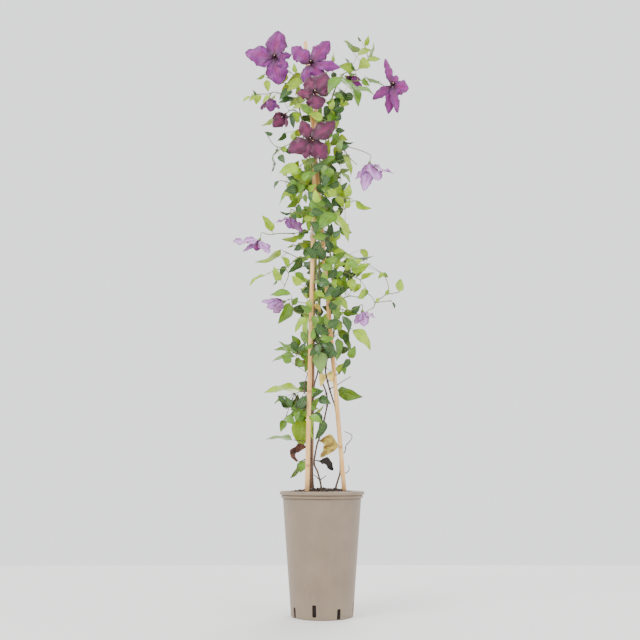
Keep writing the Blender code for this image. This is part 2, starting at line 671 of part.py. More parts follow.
def bake_modifiers(piece):
    """Replace an object's mesh with the one that its modifiers make."""
    depsgraph = bpy.context.evaluated_depsgraph_get()
    mesh = bpy.data.meshes.new_from_object(piece.evaluated_get(depsgraph))
    piece.modifiers.clear()
    piece.data = mesh


def keep_largest_body(piece):
    """Drop loose scraps and sealed hollows that a union can leave."""
    bm = bmesh.new()
    bm.from_mesh(piece.data)
    unseen = set(bm.verts)
    bodies = []
    while unseen:
        body = {unseen.pop()}
        front = list(body)
        while front:
            vert = front.pop()
            joined = {edge.other_vert(vert) for edge in vert.link_edges} & unseen
            unseen -= joined
            body |= joined
            front.extend(joined)
        bodies.append(body)
    bodies.sort(key=len)
    for body in bodies[:-1]:
        bmesh.ops.delete(bm, geom=list(body), context="VERTS")
    bm.to_mesh(piece.data)
    bm.free()


def boolean(piece, others, operation):
    """Join OTHERS to a piece, or cut them out of it, and remove them."""
    group = bpy.data.collections.new(piece.name + " tools")
    for other in others:
        group.objects.link(other)
    modifier = piece.modifiers.new(operation.title(), "BOOLEAN")
    modifier.operation = operation
    modifier.operand_type = "COLLECTION"
    modifier.collection = group
    modifier.solver = "MANIFOLD"
    bake_modifiers(piece)
    for other in others:
        bpy.data.objects.remove(other)
    bpy.data.collections.remove(group)
    keep_largest_body(piece)


def add_tube(bm, path, radii, sides):
    """Add a closed round tube along a path, with one radius for each of its points."""
    tangent = (path[1] - path[0]).normalized()
    side = tangent.orthogonal().normalized()
    rings = []
    for index, point in enumerate(path):
        ahead = path[min(index + 1, len(path) - 1)] - path[max(index - 1, 0)]
        side = tangent.rotation_difference(ahead) @ side
        tangent = ahead.normalized()
        turns = (Quaternion(tangent, math.tau * turn / sides) for turn in range(sides))
        rings.append([bm.verts.new(point + turn @ side * radii[index]) for turn in turns])
    for lower, upper in zip(rings, rings[1:]):
        for turn in range(sides):
            after = (turn + 1) % sides
            bm.faces.new((lower[turn], lower[after], upper[after], upper[turn]))
    bm.faces.new(rings[0])
    bm.faces.new(rings[-1])


def tube_object(path, first_radius, last_radius, sides, material, name="tube"):
    """Return a tapered round tube along a path."""
    radii = np.linspace(first_radius, last_radius, len(path))
    bm = bmesh.new()
    add_tube(bm, path, radii, sides)
    return make_object(name, bm, material)


def add_blade(bm, rows, thickness):
    """Add a thin closed blade. Each row is its surface points and the way that its face looks."""
    upper = [[bm.verts.new(point) for point in points] for points, normal in rows]
    lower = [[bm.verts.new(point - normal * thickness) for point in points]
             for points, normal in rows]
    for near, far, near_low, far_low in zip(upper, upper[1:], lower, lower[1:]):
        left, right = 0, 0
        while left < len(near) - 1 or right < len(far) - 1:
            near_next = (left + 1) / max(len(near) - 1, 1) if left < len(near) - 1 else 2
            far_next = (right + 1) / max(len(far) - 1, 1) if right < len(far) - 1 else 2
            corners = [(near, near_low, left), (far, far_low, right)]
            if near_next <= far_next:
                left += 1
                corners.append((near, near_low, left))
            else:
                right += 1
                corners.append((far, far_low, right))
            bm.faces.new([top[index] for top, bottom, index in corners])
            bm.faces.new([bottom[index] for top, bottom, index in reversed(corners)])
        for edge in {0, -1}:
            bm.faces.new((near[edge], far[edge], far_low[edge], near_low[edge]))
    for top, bottom in ((upper[0], lower[0]), (upper[-1], lower[-1])):
        for index in range(len(top) - 1):
            bm.faces.new((top[index], top[index + 1], bottom[index + 1], bottom[index]))


def leaf_half_width(t):
    """Return an oval, pointed leaflet's half width at a fraction of its length, largest 1."""
    return math.sin(math.pi * t ** 0.62) ** 0.9


def sepal_half_width(t):
    """Return a sepal's half width at a fraction of its length, largest 1."""
    return math.sin(math.pi * t ** 0.9) ** 0.7


def leaflet_rows(leaf):
    """Return the rows of one leaflet: its stalk, then its folded, arched blade."""
    along = (leaf.tip - leaf.base).normalized()
    side = leaf.normal.cross(along)
    length = (leaf.tip - leaf.base).length
    stalk = leaf.base - leaf.root
    ends = [(leaf.root, along)]
    if stalk.length > SHORT_STALK:
        heading = stalk.normalized()
        ends = [(leaf.root, heading), (leaf.base, (heading + along).normalized())]
    rows = []
    for point, heading in ends:
        turn = along.rotation_difference(heading)
        edge = turn @ side * LEAF_STALK_WIDTH / 2
        rows.append(([point - edge, point + edge], turn @ leaf.normal))
    for t in LEAF_STATIONS if length > SMALL_LEAFLET else LEAF_STATIONS[:1]:
        half = leaf.width / 2 * leaf_half_width(t)
        middle = leaf.base + along * length * t + leaf.normal * length * LEAF_ARCH * math.sin(math.pi * t)
        rise = leaf.normal * half * LEAF_FOLD
        rows.append(([middle - side * half + rise, middle, middle + side * half + rise],
                     leaf.normal))
    rows.append(([leaf.tip], leaf.normal))
    return rows


def leaf_samples(leaf, spacing):
    """Return points that stand for a leaflet's surface when room is sought for it."""
    along = leaf.tip - leaf.base
    side = leaf.normal.cross(along.normalized())
    count = max(3, math.ceil(along.length / spacing))
    points = []
    for step in range(count + 1):
        t = step / count
        half = leaf.width / 2 * leaf_half_width(min(max(t, 0.04), 0.99))
        sides = max(1, math.ceil(half / spacing))
        middle = leaf.base + along * t + leaf.normal * along.length * LEAF_ARCH * math.sin(math.pi * t)
        for share in range(-sides, sides + 1):
            u = share / sides
            points.append(middle + side * half * u + leaf.normal * half * LEAF_FOLD * abs(u))
    steps = max(1, math.ceil((leaf.base - leaf.root).length / spacing))
    points += [leaf.root.lerp(leaf.base, step / steps) for step in range(1, steps + 1)]
    return np.array(points)


class Crowd:
    """The places already taken on the plant, as points with a radius each."""

    def __init__(self):
        self.points = np.empty((0, 3))
        self.radii = np.empty(0)

    def add(self, points, radius):
        """Take up places."""
        self.points = np.vstack((self.points, np.array(points)))
        self.radii = np.append(self.radii, np.full(len(points), radius))

    def room(self, points, root, free_radius):
        """Return the smallest gap to the crowd, not counting what lies close to the root."""
        low = points.min(axis=0) - 0.02
        high = points.max(axis=0) + 0.02
        near = np.all((self.points > low) & (self.points < high), axis=1)
        near &= np.linalg.norm(self.points - np.array(root), axis=1) > free_radius
        if not near.any():
            return 1.0
        gaps = np.linalg.norm(points[:, None] - self.points[near][None], axis=2)
        gaps -= self.radii[near]
        gaps = gaps[np.linalg.norm(points - np.array(root), axis=1) > free_radius]
        return gaps.min() if gaps.size else 1.0


def place_leaflet(entry, root, shift, roll_side, lean):
    """Return a leaflet from its plan entry, moved SHIFT along the line of sight."""
    base_column, base_row, tip_column, tip_row, pixels = entry
    depth = root.y + shift
    base = photo_point(base_column, base_row, depth / MM)
    flat_tip = photo_point(tip_column, tip_row, depth / MM)
    tip_depth = depth + (flat_tip - base).length * math.tan(lean)
    tip = photo_point(tip_column, tip_row, tip_depth / MM)
    along = (tip - base).normalized()
    seen_width = pixels * pixel_size(base)
    width = max(seen_width, LEAF_WIDTH_RATIO * (tip - base).length)
    facing = across(EYE - base, along, Vector((0, 0, 1)))
    roll = math.acos(min(1, seen_width / width)) * roll_side
    return Leaflet(root, base, tip, Quaternion(along, roll) @ facing, width)


def settle_leaflet(entry, roots, crowd, outward, draw):
    """Place a leaflet where the photograph shows it, at the nearest depth that has room."""
    lean = math.radians(draw.uniform(-LEAF_LEAN, LEAF_LEAN))
    first_side = draw.choice((-1, 1))
    first_shift = draw.uniform(SHALLOWEST_START, DEEPEST_START)
    seen_base = photo_point(entry[0], entry[1], 0)
    seen_along = (photo_point(entry[2], entry[3], 0) - seen_base).xz.normalized()

    def reach(root):
        """Return the stalk's length as seen, made longer where it comes from ahead."""
        stalk = (seen_base - root).xz
        return 2.5 * stalk.length - 1.5 * stalk.dot(seen_along)

    root = min(roots, key=reach)
    best = None
    for tilt in SETTLE_TILTS:
        for step in range(SETTLE_STEPS):
            shift = step * SETTLE_STRIDE + first_shift
            for way, turn in ((outward, first_side), (outward, -first_side),
                              (-outward, first_side), (-outward, -first_side)):
                leaf = place_leaflet(entry, root, way * shift, turn, lean + tilt)
                room = crowd.room(leaf_samples(leaf, SAMPLE_SPACING), root, ROOT_FREE)
                if best is None or room > best[0]:
                    best = (room, leaf)
                if room > LEAF_ROOM:
                    return leaf
    return best[1]


def settle_everything():
    """Return every leafy length's settled leaflets, by name, kept clear of all else."""
    crowd = Crowd()
    for cane in CANES:
        crowd.add(chord_points(cane_ends(cane), CHORD_SPACING), CANE_RADIUS)
    for row in TIE_ROWS.values():
        crowd.add(tie_path(row), TIE_RADIUS)
    for part in (*WOODY_STEMS, *LEAFY_LENGTHS):
        stem, *twigs = growth_lines(part)
        crowd.add(chord_points(stem, CHORD_SPACING), STEM_RADIUS)
        for twig in twigs:
            crowd.add(chord_points(twig, CHORD_SPACING), TWIG_RADIUS)
    for bloom in BLOOMS:
        crowd.add(bloom_samples(bloom), BLOOM_ROOM)
    for leaf in DEAD_LEAVES:
        crowd.add(photo_path(leaf.path, CHORD_SPACING), DEAD_LEAF_ROOM)
    draw = random.Random(7)
    settled = {}
    for length in LEAFY_LENGTHS:
        outward = 1 if "back" in length.name else -1
        roots = [root for line in growth_lines(length) for root in chord_points(line, CHORD_SPACING)[1:-1]]
        leaves = []
        for entry in length.leaflets:
            reach = math.hypot(entry[2] - entry[0], entry[3] - entry[1])
            if reach * pixel_size(roots[0]) < SMALLEST_LEAFLET:
                continue
            leaf = settle_leaflet(entry, roots, crowd, outward, draw)
            crowd.add(leaf_samples(leaf, SAMPLE_SPACING), BLADE_THICKNESS / 2)
            roots = [root for root in roots if (root - leaf.root).length > ROOT_SPACING]
            leaves.append(leaf)
        settled[length.name] = leaves
    return settled


def cane_ends(cane):
    """Return the places where a cane meets the soil and where it ends above."""
    return photo_point(*cane.foot), photo_point(*cane.tip)


def stalk_end(bloom):
    """Return the last two places of a bloom's stalk, straight behind the bloom."""
    centre = photo_point(*bloom.centre)
    face = Vector(bloom.face).normalized()
    end = centre - face * (RECEPTACLE_LENGTH + TOUCH_GAP)
    return end - face * STALK_APPROACH, end


def sepal_frame(bloom, sepal):
    """Return a sepal's base, tip, face normal and width."""
    tip_column, tip_row, tip_depth, pixels = sepal
    centre = photo_point(*bloom.centre)
    face = Vector(bloom.face).normalized()
    tip = photo_point(tip_column, tip_row, bloom.centre[2] + tip_depth)
    outward = across(tip - centre, face, tip - centre)
    base = centre + outward * SEPAL_ROOT
    along = (tip - base).normalized()
    normal = across(face, along, EYE - tip)
    return base, tip, normal, pixels * pixel_size(tip) * SEPAL_SPREAD


def sepal_rows(bloom, sepal, index, stations, columns):
    """Return the rows of one sepal, from its foot to its pointed tip."""
    base, tip, normal, width = sepal_frame(bloom, sepal)
    along = (tip - base).normalized()
    side = normal.cross(along)
    length = (tip - base).length
    lift = normal * SEPAL_LIFT * (index % 2)
    rows = [([base - side * SEPAL_FOOT, base + side * SEPAL_FOOT], normal)]
    for step, t in enumerate(stations):
        half = width / 2 * sepal_half_width(t)
        middle = base + along * length * t + normal * length * SEPAL_ARCH * math.sin(math.pi * t) + lift
        points = []
        for column in range(columns):
            u = 2 * column / (columns - 1) - 1
            ruffle = half * SEPAL_RUFFLE * abs(u) * math.cos(math.pi * (step + column))
            points.append(middle + side * half * u + normal * (ruffle - half * SEPAL_CUP * u * u))
        rows.append((points, normal))
    rows.append(([tip + lift], normal))
    return rows


def bloom_samples(bloom):
    """Return points that stand for a bloom's surfaces when room is sought beside it."""
    centre = photo_point(*bloom.centre)
    face = Vector(bloom.face).normalized()
    points = [centre + face * step * 0.003 for step in range(-1, 4)]
    stations = [step / 12 for step in range(1, 12)]
    for index, sepal in enumerate(bloom.sepals):
        for row, normal in sepal_rows(bloom, sepal, index, stations, 7):
            points += row
    return points


def build_bloom(bloom, material):
    """Build one bloom: its sepals, its boss of stamens and the receptacle behind them."""
    centre = photo_point(*bloom.centre)
    face = Vector(bloom.face).normalized()
    square = Vector((0, 0, 1)).rotation_difference(face)
    bm = bmesh.new()
    heart = centre - face * RECEPTACLE_LENGTH
    add_tube(bm, [heart, centre + face * 0.003], (0.0020, 0.0040), 6)
    body = make_object(bloom.name, bm, material)
    parts = []
    for index, sepal in enumerate(bloom.sepals):
        bm = bmesh.new()
        add_blade(bm, sepal_rows(bloom, sepal, index, SEPAL_STATIONS, 3), SEPAL_THICKNESS)
        parts.append(make_object("sepal", bm, material))
    for turn in range(STAMENS):
        spread = Quaternion((0, 0, 1), math.tau * turn / STAMENS) @ Vector((0.55, 0, 0.83))
        root = centre + face * 0.0015
        bm = bmesh.new()
        add_tube(bm, [root, root + square @ spread * STAMEN_LENGTH], (0.0009, 0.0006), 3)
        parts.append(make_object("stamen", bm, material))
    boolean(body, parts, "UNION")


def build_leafy_length(length, leaves, material):
    """Build one leafy length: its stem, twigs and bloom stalks, and its leaflets."""
    stem, *twigs = growth_lines(length)
    body = tube_object(stem, STEM_RADIUS, STEM_RADIUS, 5, material, length.name)
    parts = [tube_object(twig, TWIG_RADIUS, TWIG_RADIUS, 4, material) for twig in twigs]
    for leaf in leaves:
        bm = bmesh.new()
        add_blade(bm, leaflet_rows(leaf), BLADE_THICKNESS)
        parts.append(make_object("leaflet", bm, material))
    boolean(body, parts, "UNION")


def build_wood(stem, material):
    """Build the woody foot of a stem with its bare side twigs."""
    trunk, *twigs = growth_lines(stem)
    body = tube_object(trunk, WOOD_RADIUS, STEM_RADIUS, 8, material, stem.name)
    parts = [tube_object(twig, TWIG_RADIUS, TWIG_TIP_RADIUS, 4, material) for twig in twigs]
    parts += [dead_leaf_object(leaf, material) for leaf in DEAD_LEAVES
              if leaf.fused and leaf.carrier == stem.name]
    if parts:
        boolean(body, parts, "UNION")


def dead_leaf_object(leaf, material):
    """Return a shrivelled leaf: a crumpled blade whose rows twist as they go."""
    centres = [photo_point(*point) for point in leaf.path]
    carrier = next(part for part in (*WOODY_STEMS, *LEAFY_LENGTHS) if part.name == leaf.carrier)
    stem = chord_points(growth_lines(carrier)[0], 0.001)
    centres[0] = min(stem, key=lambda point: (point - centres[0]).length)
    if not leaf.fused:
        start = (centres[1] - centres[0]).normalized()
        centres[0] = centres[0] + start * (STEM_RADIUS + 2 * TOUCH_GAP)
    rows = []
    for index, centre in enumerate(centres):
        heading = (centres[min(index + 1, len(centres) - 1)]
                   - centres[max(index - 1, 0)]).normalized()
        normal = across(EYE - centre, heading, Vector((0, 0, 1)))
        normal = Quaternion(heading, 0.7 * math.sin(1.9 * index)) @ normal
        side = normal.cross(heading)
        half = leaf.widths[index] * pixel_size(centre) / 2
        if half < LEAF_STALK_WIDTH:
            half = LEAF_STALK_WIDTH / 2
            rows.append(([centre - side * half, centre + side * half], normal))
        else:
            curl = normal * half * leaf.curl
            rows.append(([centre - side * half + curl, centre, centre + side * half + curl], normal))
    bm = bmesh.new()
    add_blade(bm, rows, BLADE_THICKNESS)
    return make_object(leaf.name, bm, material)


def turned_object(name, profile, segments, material):
    """Return the solid that a profile of (radius, height) points sweeps about the Z axis."""
    bm = bmesh.new()
    verts = [bm.verts.new((radius, 0, height)) for radius, height in profile]
    edges = [bm.edges.new(pair) for pair in zip(verts, verts[1:])]
    bmesh.ops.spin(bm, geom=verts + edges, cent=(0, 0, 0), axis=(0, 0, 1), angle=math.tau,
                   steps=segments, use_merge=True)
    bmesh.ops.remove_doubles(bm, verts=bm.verts, dist=1e-6)
    return make_object(name, bm, material)


def pot_inner_radius(height):
    """Return the radius of the pot's inside at a height."""
    rise = height / (POT_HEIGHT - POT_LIP_HEIGHT - POT_BAND_HEIGHT)
    return POT_BASE_RADIUS + (POT_BODY_TOP_RADIUS - POT_BASE_RADIUS) * rise - POT_WALL


def build_pot(material):
    """Build the tapered pot with its rolled lip, the band under it and its drain slots."""
    lip_foot = POT_HEIGHT - POT_LIP_HEIGHT
    band_foot = lip_foot - POT_BAND_HEIGHT
    soft = POT_SOFTNESS
    profile = (
        (0, 0), (POT_BASE_RADIUS - soft, 0), (POT_BASE_RADIUS, soft),
        (POT_BODY_TOP_RADIUS, band_foot - soft), (POT_BAND_RADIUS, band_foot),
        (POT_BAND_RADIUS, lip_foot - soft), (POT_BAND_RADIUS - soft, lip_foot - soft / 2),
        (POT_RIM_RADIUS - soft / 2, lip_foot), (POT_RIM_RADIUS, lip_foot + soft),
        (POT_RIM_RADIUS - soft / 3, POT_HEIGHT - soft), (POT_RIM_RADIUS - 2 * soft, POT_HEIGHT),
        (pot_inner_radius(band_foot) + 2 * soft, POT_HEIGHT - soft / 2),
        (pot_inner_radius(band_foot), band_foot), (pot_inner_radius(POT_FLOOR), POT_FLOOR),
        (0, POT_FLOOR),
    )
    pot = turned_object("pot", profile, POT_SEGMENTS, material)
    cutters = []
    for slot in range(DRAIN_SLOTS):
        bm = bmesh.new()
        bmesh.ops.create_cube(bm, size=1)
        bmesh.ops.scale(bm, vec=DRAIN_SLOT_SIZE, verts=bm.verts)
        low = HIGH_SLOT_FOOT if slot % 2 else LOW_SLOT_FOOT
        bmesh.ops.translate(bm, vec=(POT_BASE_RADIUS, 0, low + DRAIN_SLOT_SIZE.z / 2),
                            verts=bm.verts)
        turn = Quaternion((0, 0, 1), FIRST_SLOT_ANGLE + math.tau * slot / DRAIN_SLOTS)
        bmesh.ops.rotate(bm, cent=(0, 0, 0), matrix=turn.to_matrix(), verts=bm.verts)
        cutters.append(make_object("slot", bm, material))
    boolean(pot, cutters, "DIFFERENCE")


def build_soil(material):
    """Build the soil, with a crumbly mound on top and plain holes for what stands in it."""
    edge_height = POT_HEIGHT - SOIL_EDGE_DROP
    radius = pot_inner_radius(edge_height - 0.004) - TOUCH_GAP
    foot = POT_FLOOR + TOUCH_GAP
    profile = [(0, foot), (pot_inner_radius(foot) - TOUCH_GAP, foot), (radius, edge_height)]
    shares = [1 - ring / SOIL_RINGS for ring in range(1, SOIL_RINGS)]
    profile += [(radius * share, edge_height + SOIL_CROWN_RISE * (1 - share ** 2))
                for share in (*shares, 0)]
    soil = turned_object("soil", profile, POT_SEGMENTS, material)
    draw = random.Random(3)
    for vert in soil.data.vertices:
        share = math.hypot(vert.co.x, vert.co.y) / radius
        if vert.co.z > edge_height and share < 0.98:
            vert.co.z += draw.uniform(-SOIL_CRUMB, SOIL_CRUMB)
    cutters = []
    for cane in CANES:
        foot, tip = cane_ends(cane)
        along = (tip - foot).normalized()
        path = [foot - along * (CANE_BURIED + TOUCH_GAP), foot + along * 0.03]
        hole = CANE_RADIUS * 1.03 + TOUCH_GAP
        cutters.append(tube_object(path, hole, hole, 12, material))
    for stem in WOODY_STEMS:
        path = stem_path(stem, STEM_SPACING)[:SOIL_HOLE_POINTS]
        path[0] = path[0] - (path[1] - path[0]).normalized() * TOUCH_GAP
        hole = WOOD_RADIUS + 2 * TOUCH_GAP
        cutters.append(tube_object(path, hole, hole, 10, material))
    boolean(soil, cutters, "DIFFERENCE")


def build_cane(cane, offset, material):
    """Build one bamboo cane, thin and slightly swollen at its joints."""
    foot, tip = cane_ends(cane)
    along = (tip - foot).normalized()
    start = foot - along * CANE_BURIED
    length = (tip - start).length
    places, radii = [0.0], [CANE_RADIUS]
    joint = offset
    while joint < length - 0.02:
        places += [joint - 0.004, joint, joint + 0.004]
        radii += [CANE_RADIUS, CANE_RADIUS * CANE_JOINT_SWELL, CANE_RADIUS]
        joint += CANE_JOINT_SPACING
    places.append(length)
    radii.append(CANE_RADIUS * 0.95)
    bm = bmesh.new()
    add_tube(bm, [start + along * place for place in places], radii, 8)
    make_object(cane.name, bm, material)


def tie_path(row):
    """Return the closed path of a tie, drawn round the canes at one photograph row."""
    height = photo_point(PHOTO_CENTRE, row, 0).z
    hubs = []
    for cane in CANES:
        foot, tip = cane_ends(cane)
        hubs.append(foot.lerp(tip, (height - foot.z) / (tip.z - foot.z)))
    middle = sum(hubs, Vector()) / len(hubs)
    hubs.sort(key=lambda hub: math.atan2(hub.y - middle.y, hub.x - middle.x))
    reach = CANE_RADIUS + TIE_RADIUS + TIE_GAP
    path = []
    for before, hub, after in zip(hubs[-1:] + hubs[:-1], hubs, hubs[1:] + hubs[:1]):
        first = math.atan2(hub.y - before.y, hub.x - before.x) - math.pi / 2
        last = math.atan2(after.y - hub.y, after.x - hub.x) - math.pi / 2
        sweep = (last - first) % math.tau
        for step in range(TIE_ARC_STEPS + 1):
            angle = first + sweep * step / TIE_ARC_STEPS
            path.append(Vector((hub.x + reach * math.cos(angle), hub.y + reach * math.sin(angle),
                                height)))
    return path


def build_tie(name, row, material):
    """Build one tie as a closed ring of round cord that holds the canes together."""
    path = tie_path(row)
    bm = bmesh.new()
    rings = []
    for before, point, after in zip(path[-1:] + path[:-1], path, path[1:] + path[:1]):
        tangent = (after - before).normalized()
        outward = tangent.cross(Vector((0, 0, 1)))
        turns = (Quaternion(tangent, math.tau * turn / 5) for turn in range(5))
        rings.append([bm.verts.new(point + turn @ outward * TIE_RADIUS) for turn in turns])
    for ring, following in zip(rings, rings[1:] + rings[:1]):
        for turn in range(5):
            after = (turn + 1) % 5
            bm.faces.new((ring[turn], ring[after], following[after], following[turn]))
    make_object(name, bm, material)


def main():
    """Clear the scene and build every piece of the plant."""
    for piece in list(bpy.data.objects):
        bpy.data.objects.remove(piece)
    green = make_material("leaf green", (0.19, 0.36, 0.06), 0.5)
    bark = make_material("brown bark", (0.11, 0.07, 0.05), 0.8)
    violet = make_material("violet sepal", (0.30, 0.05, 0.33), 0.55)
    withered = make_material("withered leaf", (0.42, 0.36, 0.11), 0.75)
    bamboo = make_material("bamboo", (0.70, 0.50, 0.29), 0.5)
    cord = make_material("pale cord", (0.75, 0.74, 0.68), 0.8)
    plastic = make_material("taupe plastic", (0.32, 0.27, 0.22), 0.5)
    earth = make_material("potting soil", (0.03, 0.02, 0.015), 0.95)
    build_pot(plastic)
    build_soil(earth)
    for index, cane in enumerate(CANES):
        build_cane(cane, CANE_FIRST_JOINT + CANE_JOINT_SHIFT * index, bamboo)
    for name, row in TIE_ROWS.items():
        build_tie(name, row, cord)
    for stem in WOODY_STEMS:
        build_wood(stem, bark)
    for leaf in DEAD_LEAVES:
        if not leaf.fused:
            dead_leaf_object(leaf, withered)
    settled = settle_everything()
    for length in LEAFY_LENGTHS:
        build_leafy_length(length, settled[length.name], green)
    for bloom in BLOOMS:
        build_bloom(bloom, violet)


if __name__ == "__main__":
    main()
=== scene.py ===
"""The looks of a clematis in flower, trained up a tepee of bamboo canes in a nursery pot.

Lengths are metres and +Z is up. The origin is the centre of the pot's underside, and the
side that the photograph shows faces -Y. Places on the plant are written as the photograph's
own column and row with a depth in millimetres behind the pot's axis, and Viewpoint.place
turns them into real places. Growth settles each leaflet at the nearest depth with room, as
the solid model does, and then settles the smallest leaflets, which the solid model leaves out.
"""
import logging
import math
import random
from dataclasses import dataclass, field
from enum import Enum
from typing import Callable, Iterable, NamedTuple, Optional, Sequence, Union

import bmesh
import bpy
import numpy as np
from mathutils import Matrix, Quaternion, Vector, noise


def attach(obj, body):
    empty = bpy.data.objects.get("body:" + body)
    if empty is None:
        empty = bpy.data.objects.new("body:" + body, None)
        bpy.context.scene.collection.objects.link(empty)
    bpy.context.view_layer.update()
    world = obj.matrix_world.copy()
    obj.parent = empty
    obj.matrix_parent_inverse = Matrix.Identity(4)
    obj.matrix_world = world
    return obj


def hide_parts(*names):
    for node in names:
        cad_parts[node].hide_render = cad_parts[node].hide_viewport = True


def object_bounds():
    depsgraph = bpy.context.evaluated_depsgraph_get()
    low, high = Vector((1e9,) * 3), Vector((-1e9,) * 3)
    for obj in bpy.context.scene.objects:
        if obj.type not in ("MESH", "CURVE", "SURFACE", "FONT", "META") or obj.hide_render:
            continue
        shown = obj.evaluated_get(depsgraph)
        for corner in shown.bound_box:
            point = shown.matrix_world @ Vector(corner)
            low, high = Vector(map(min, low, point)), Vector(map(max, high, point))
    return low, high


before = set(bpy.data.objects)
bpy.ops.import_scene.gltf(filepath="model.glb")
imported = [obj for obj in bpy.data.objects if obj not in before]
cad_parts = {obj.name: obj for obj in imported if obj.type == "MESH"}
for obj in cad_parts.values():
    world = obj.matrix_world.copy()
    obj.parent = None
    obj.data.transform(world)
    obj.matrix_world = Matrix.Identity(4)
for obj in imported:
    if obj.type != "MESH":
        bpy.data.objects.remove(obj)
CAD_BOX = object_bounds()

LOG = logging.getLogger("clematis")
MM = 0.001
BODY = "root"
UP = Vector((0, 0, 1))

Path = list[Vector]
Colour = tuple[float, float, float, float]


class LeafTone(Enum):
    """How a leaflet's shown side is coloured."""

    YOUNG = "young"
    LEAF = "leaf"
    DEEP = "deep"
    UNDERSIDE = "underside"
    FADING = "fading"


class BloomTone(Enum):
    """The colour that a bloom's sepals have on their face."""

    VIOLET = "violet"
    WINE = "wine"
    LILAC = "lilac"


class Leafy(NamedTuple):
    """The plan of one leafy length of a climbing stem."""

    name: str
    axis: tuple
    twigs: tuple
    leaflets: tuple


class Wood(NamedTuple):
    """The plan of the woody foot of a climbing stem."""

    name: str
    axis: tuple
    twigs: tuple


class Bloom(NamedTuple):
    """The plan of one bloom, with the leafy length that carries it and its stalk."""

    name: str
    carrier: str
    stalk: tuple
    centre: tuple
    face: tuple
    tone: str
    sepals: tuple


class DeadLeaf(NamedTuple):
    """The plan of one shrivelled leaf, which is one body with its stem where it is fused."""

    name: str
    carrier: str
    node: str
    path: tuple
    widths: tuple
    curl: float


class Cane(NamedTuple):
    """The plan of one bamboo cane, from its foot at the soil to its tip."""

    name: str
    foot: tuple
    tip: tuple


class Thicket(NamedTuple):
    """A crowd of small leaflets: what bears them, where they grow, how many, and their tones."""

    carrier: str
    columns: tuple
    rows: tuple
    count: int
    tones: tuple


class Leaflet(NamedTuple):
    """One leaflet in place: where its stalk starts, its blade's ends, and how it lies."""

    root: Vector
    base: Vector
    tip: Vector
    normal: Vector
    width: float


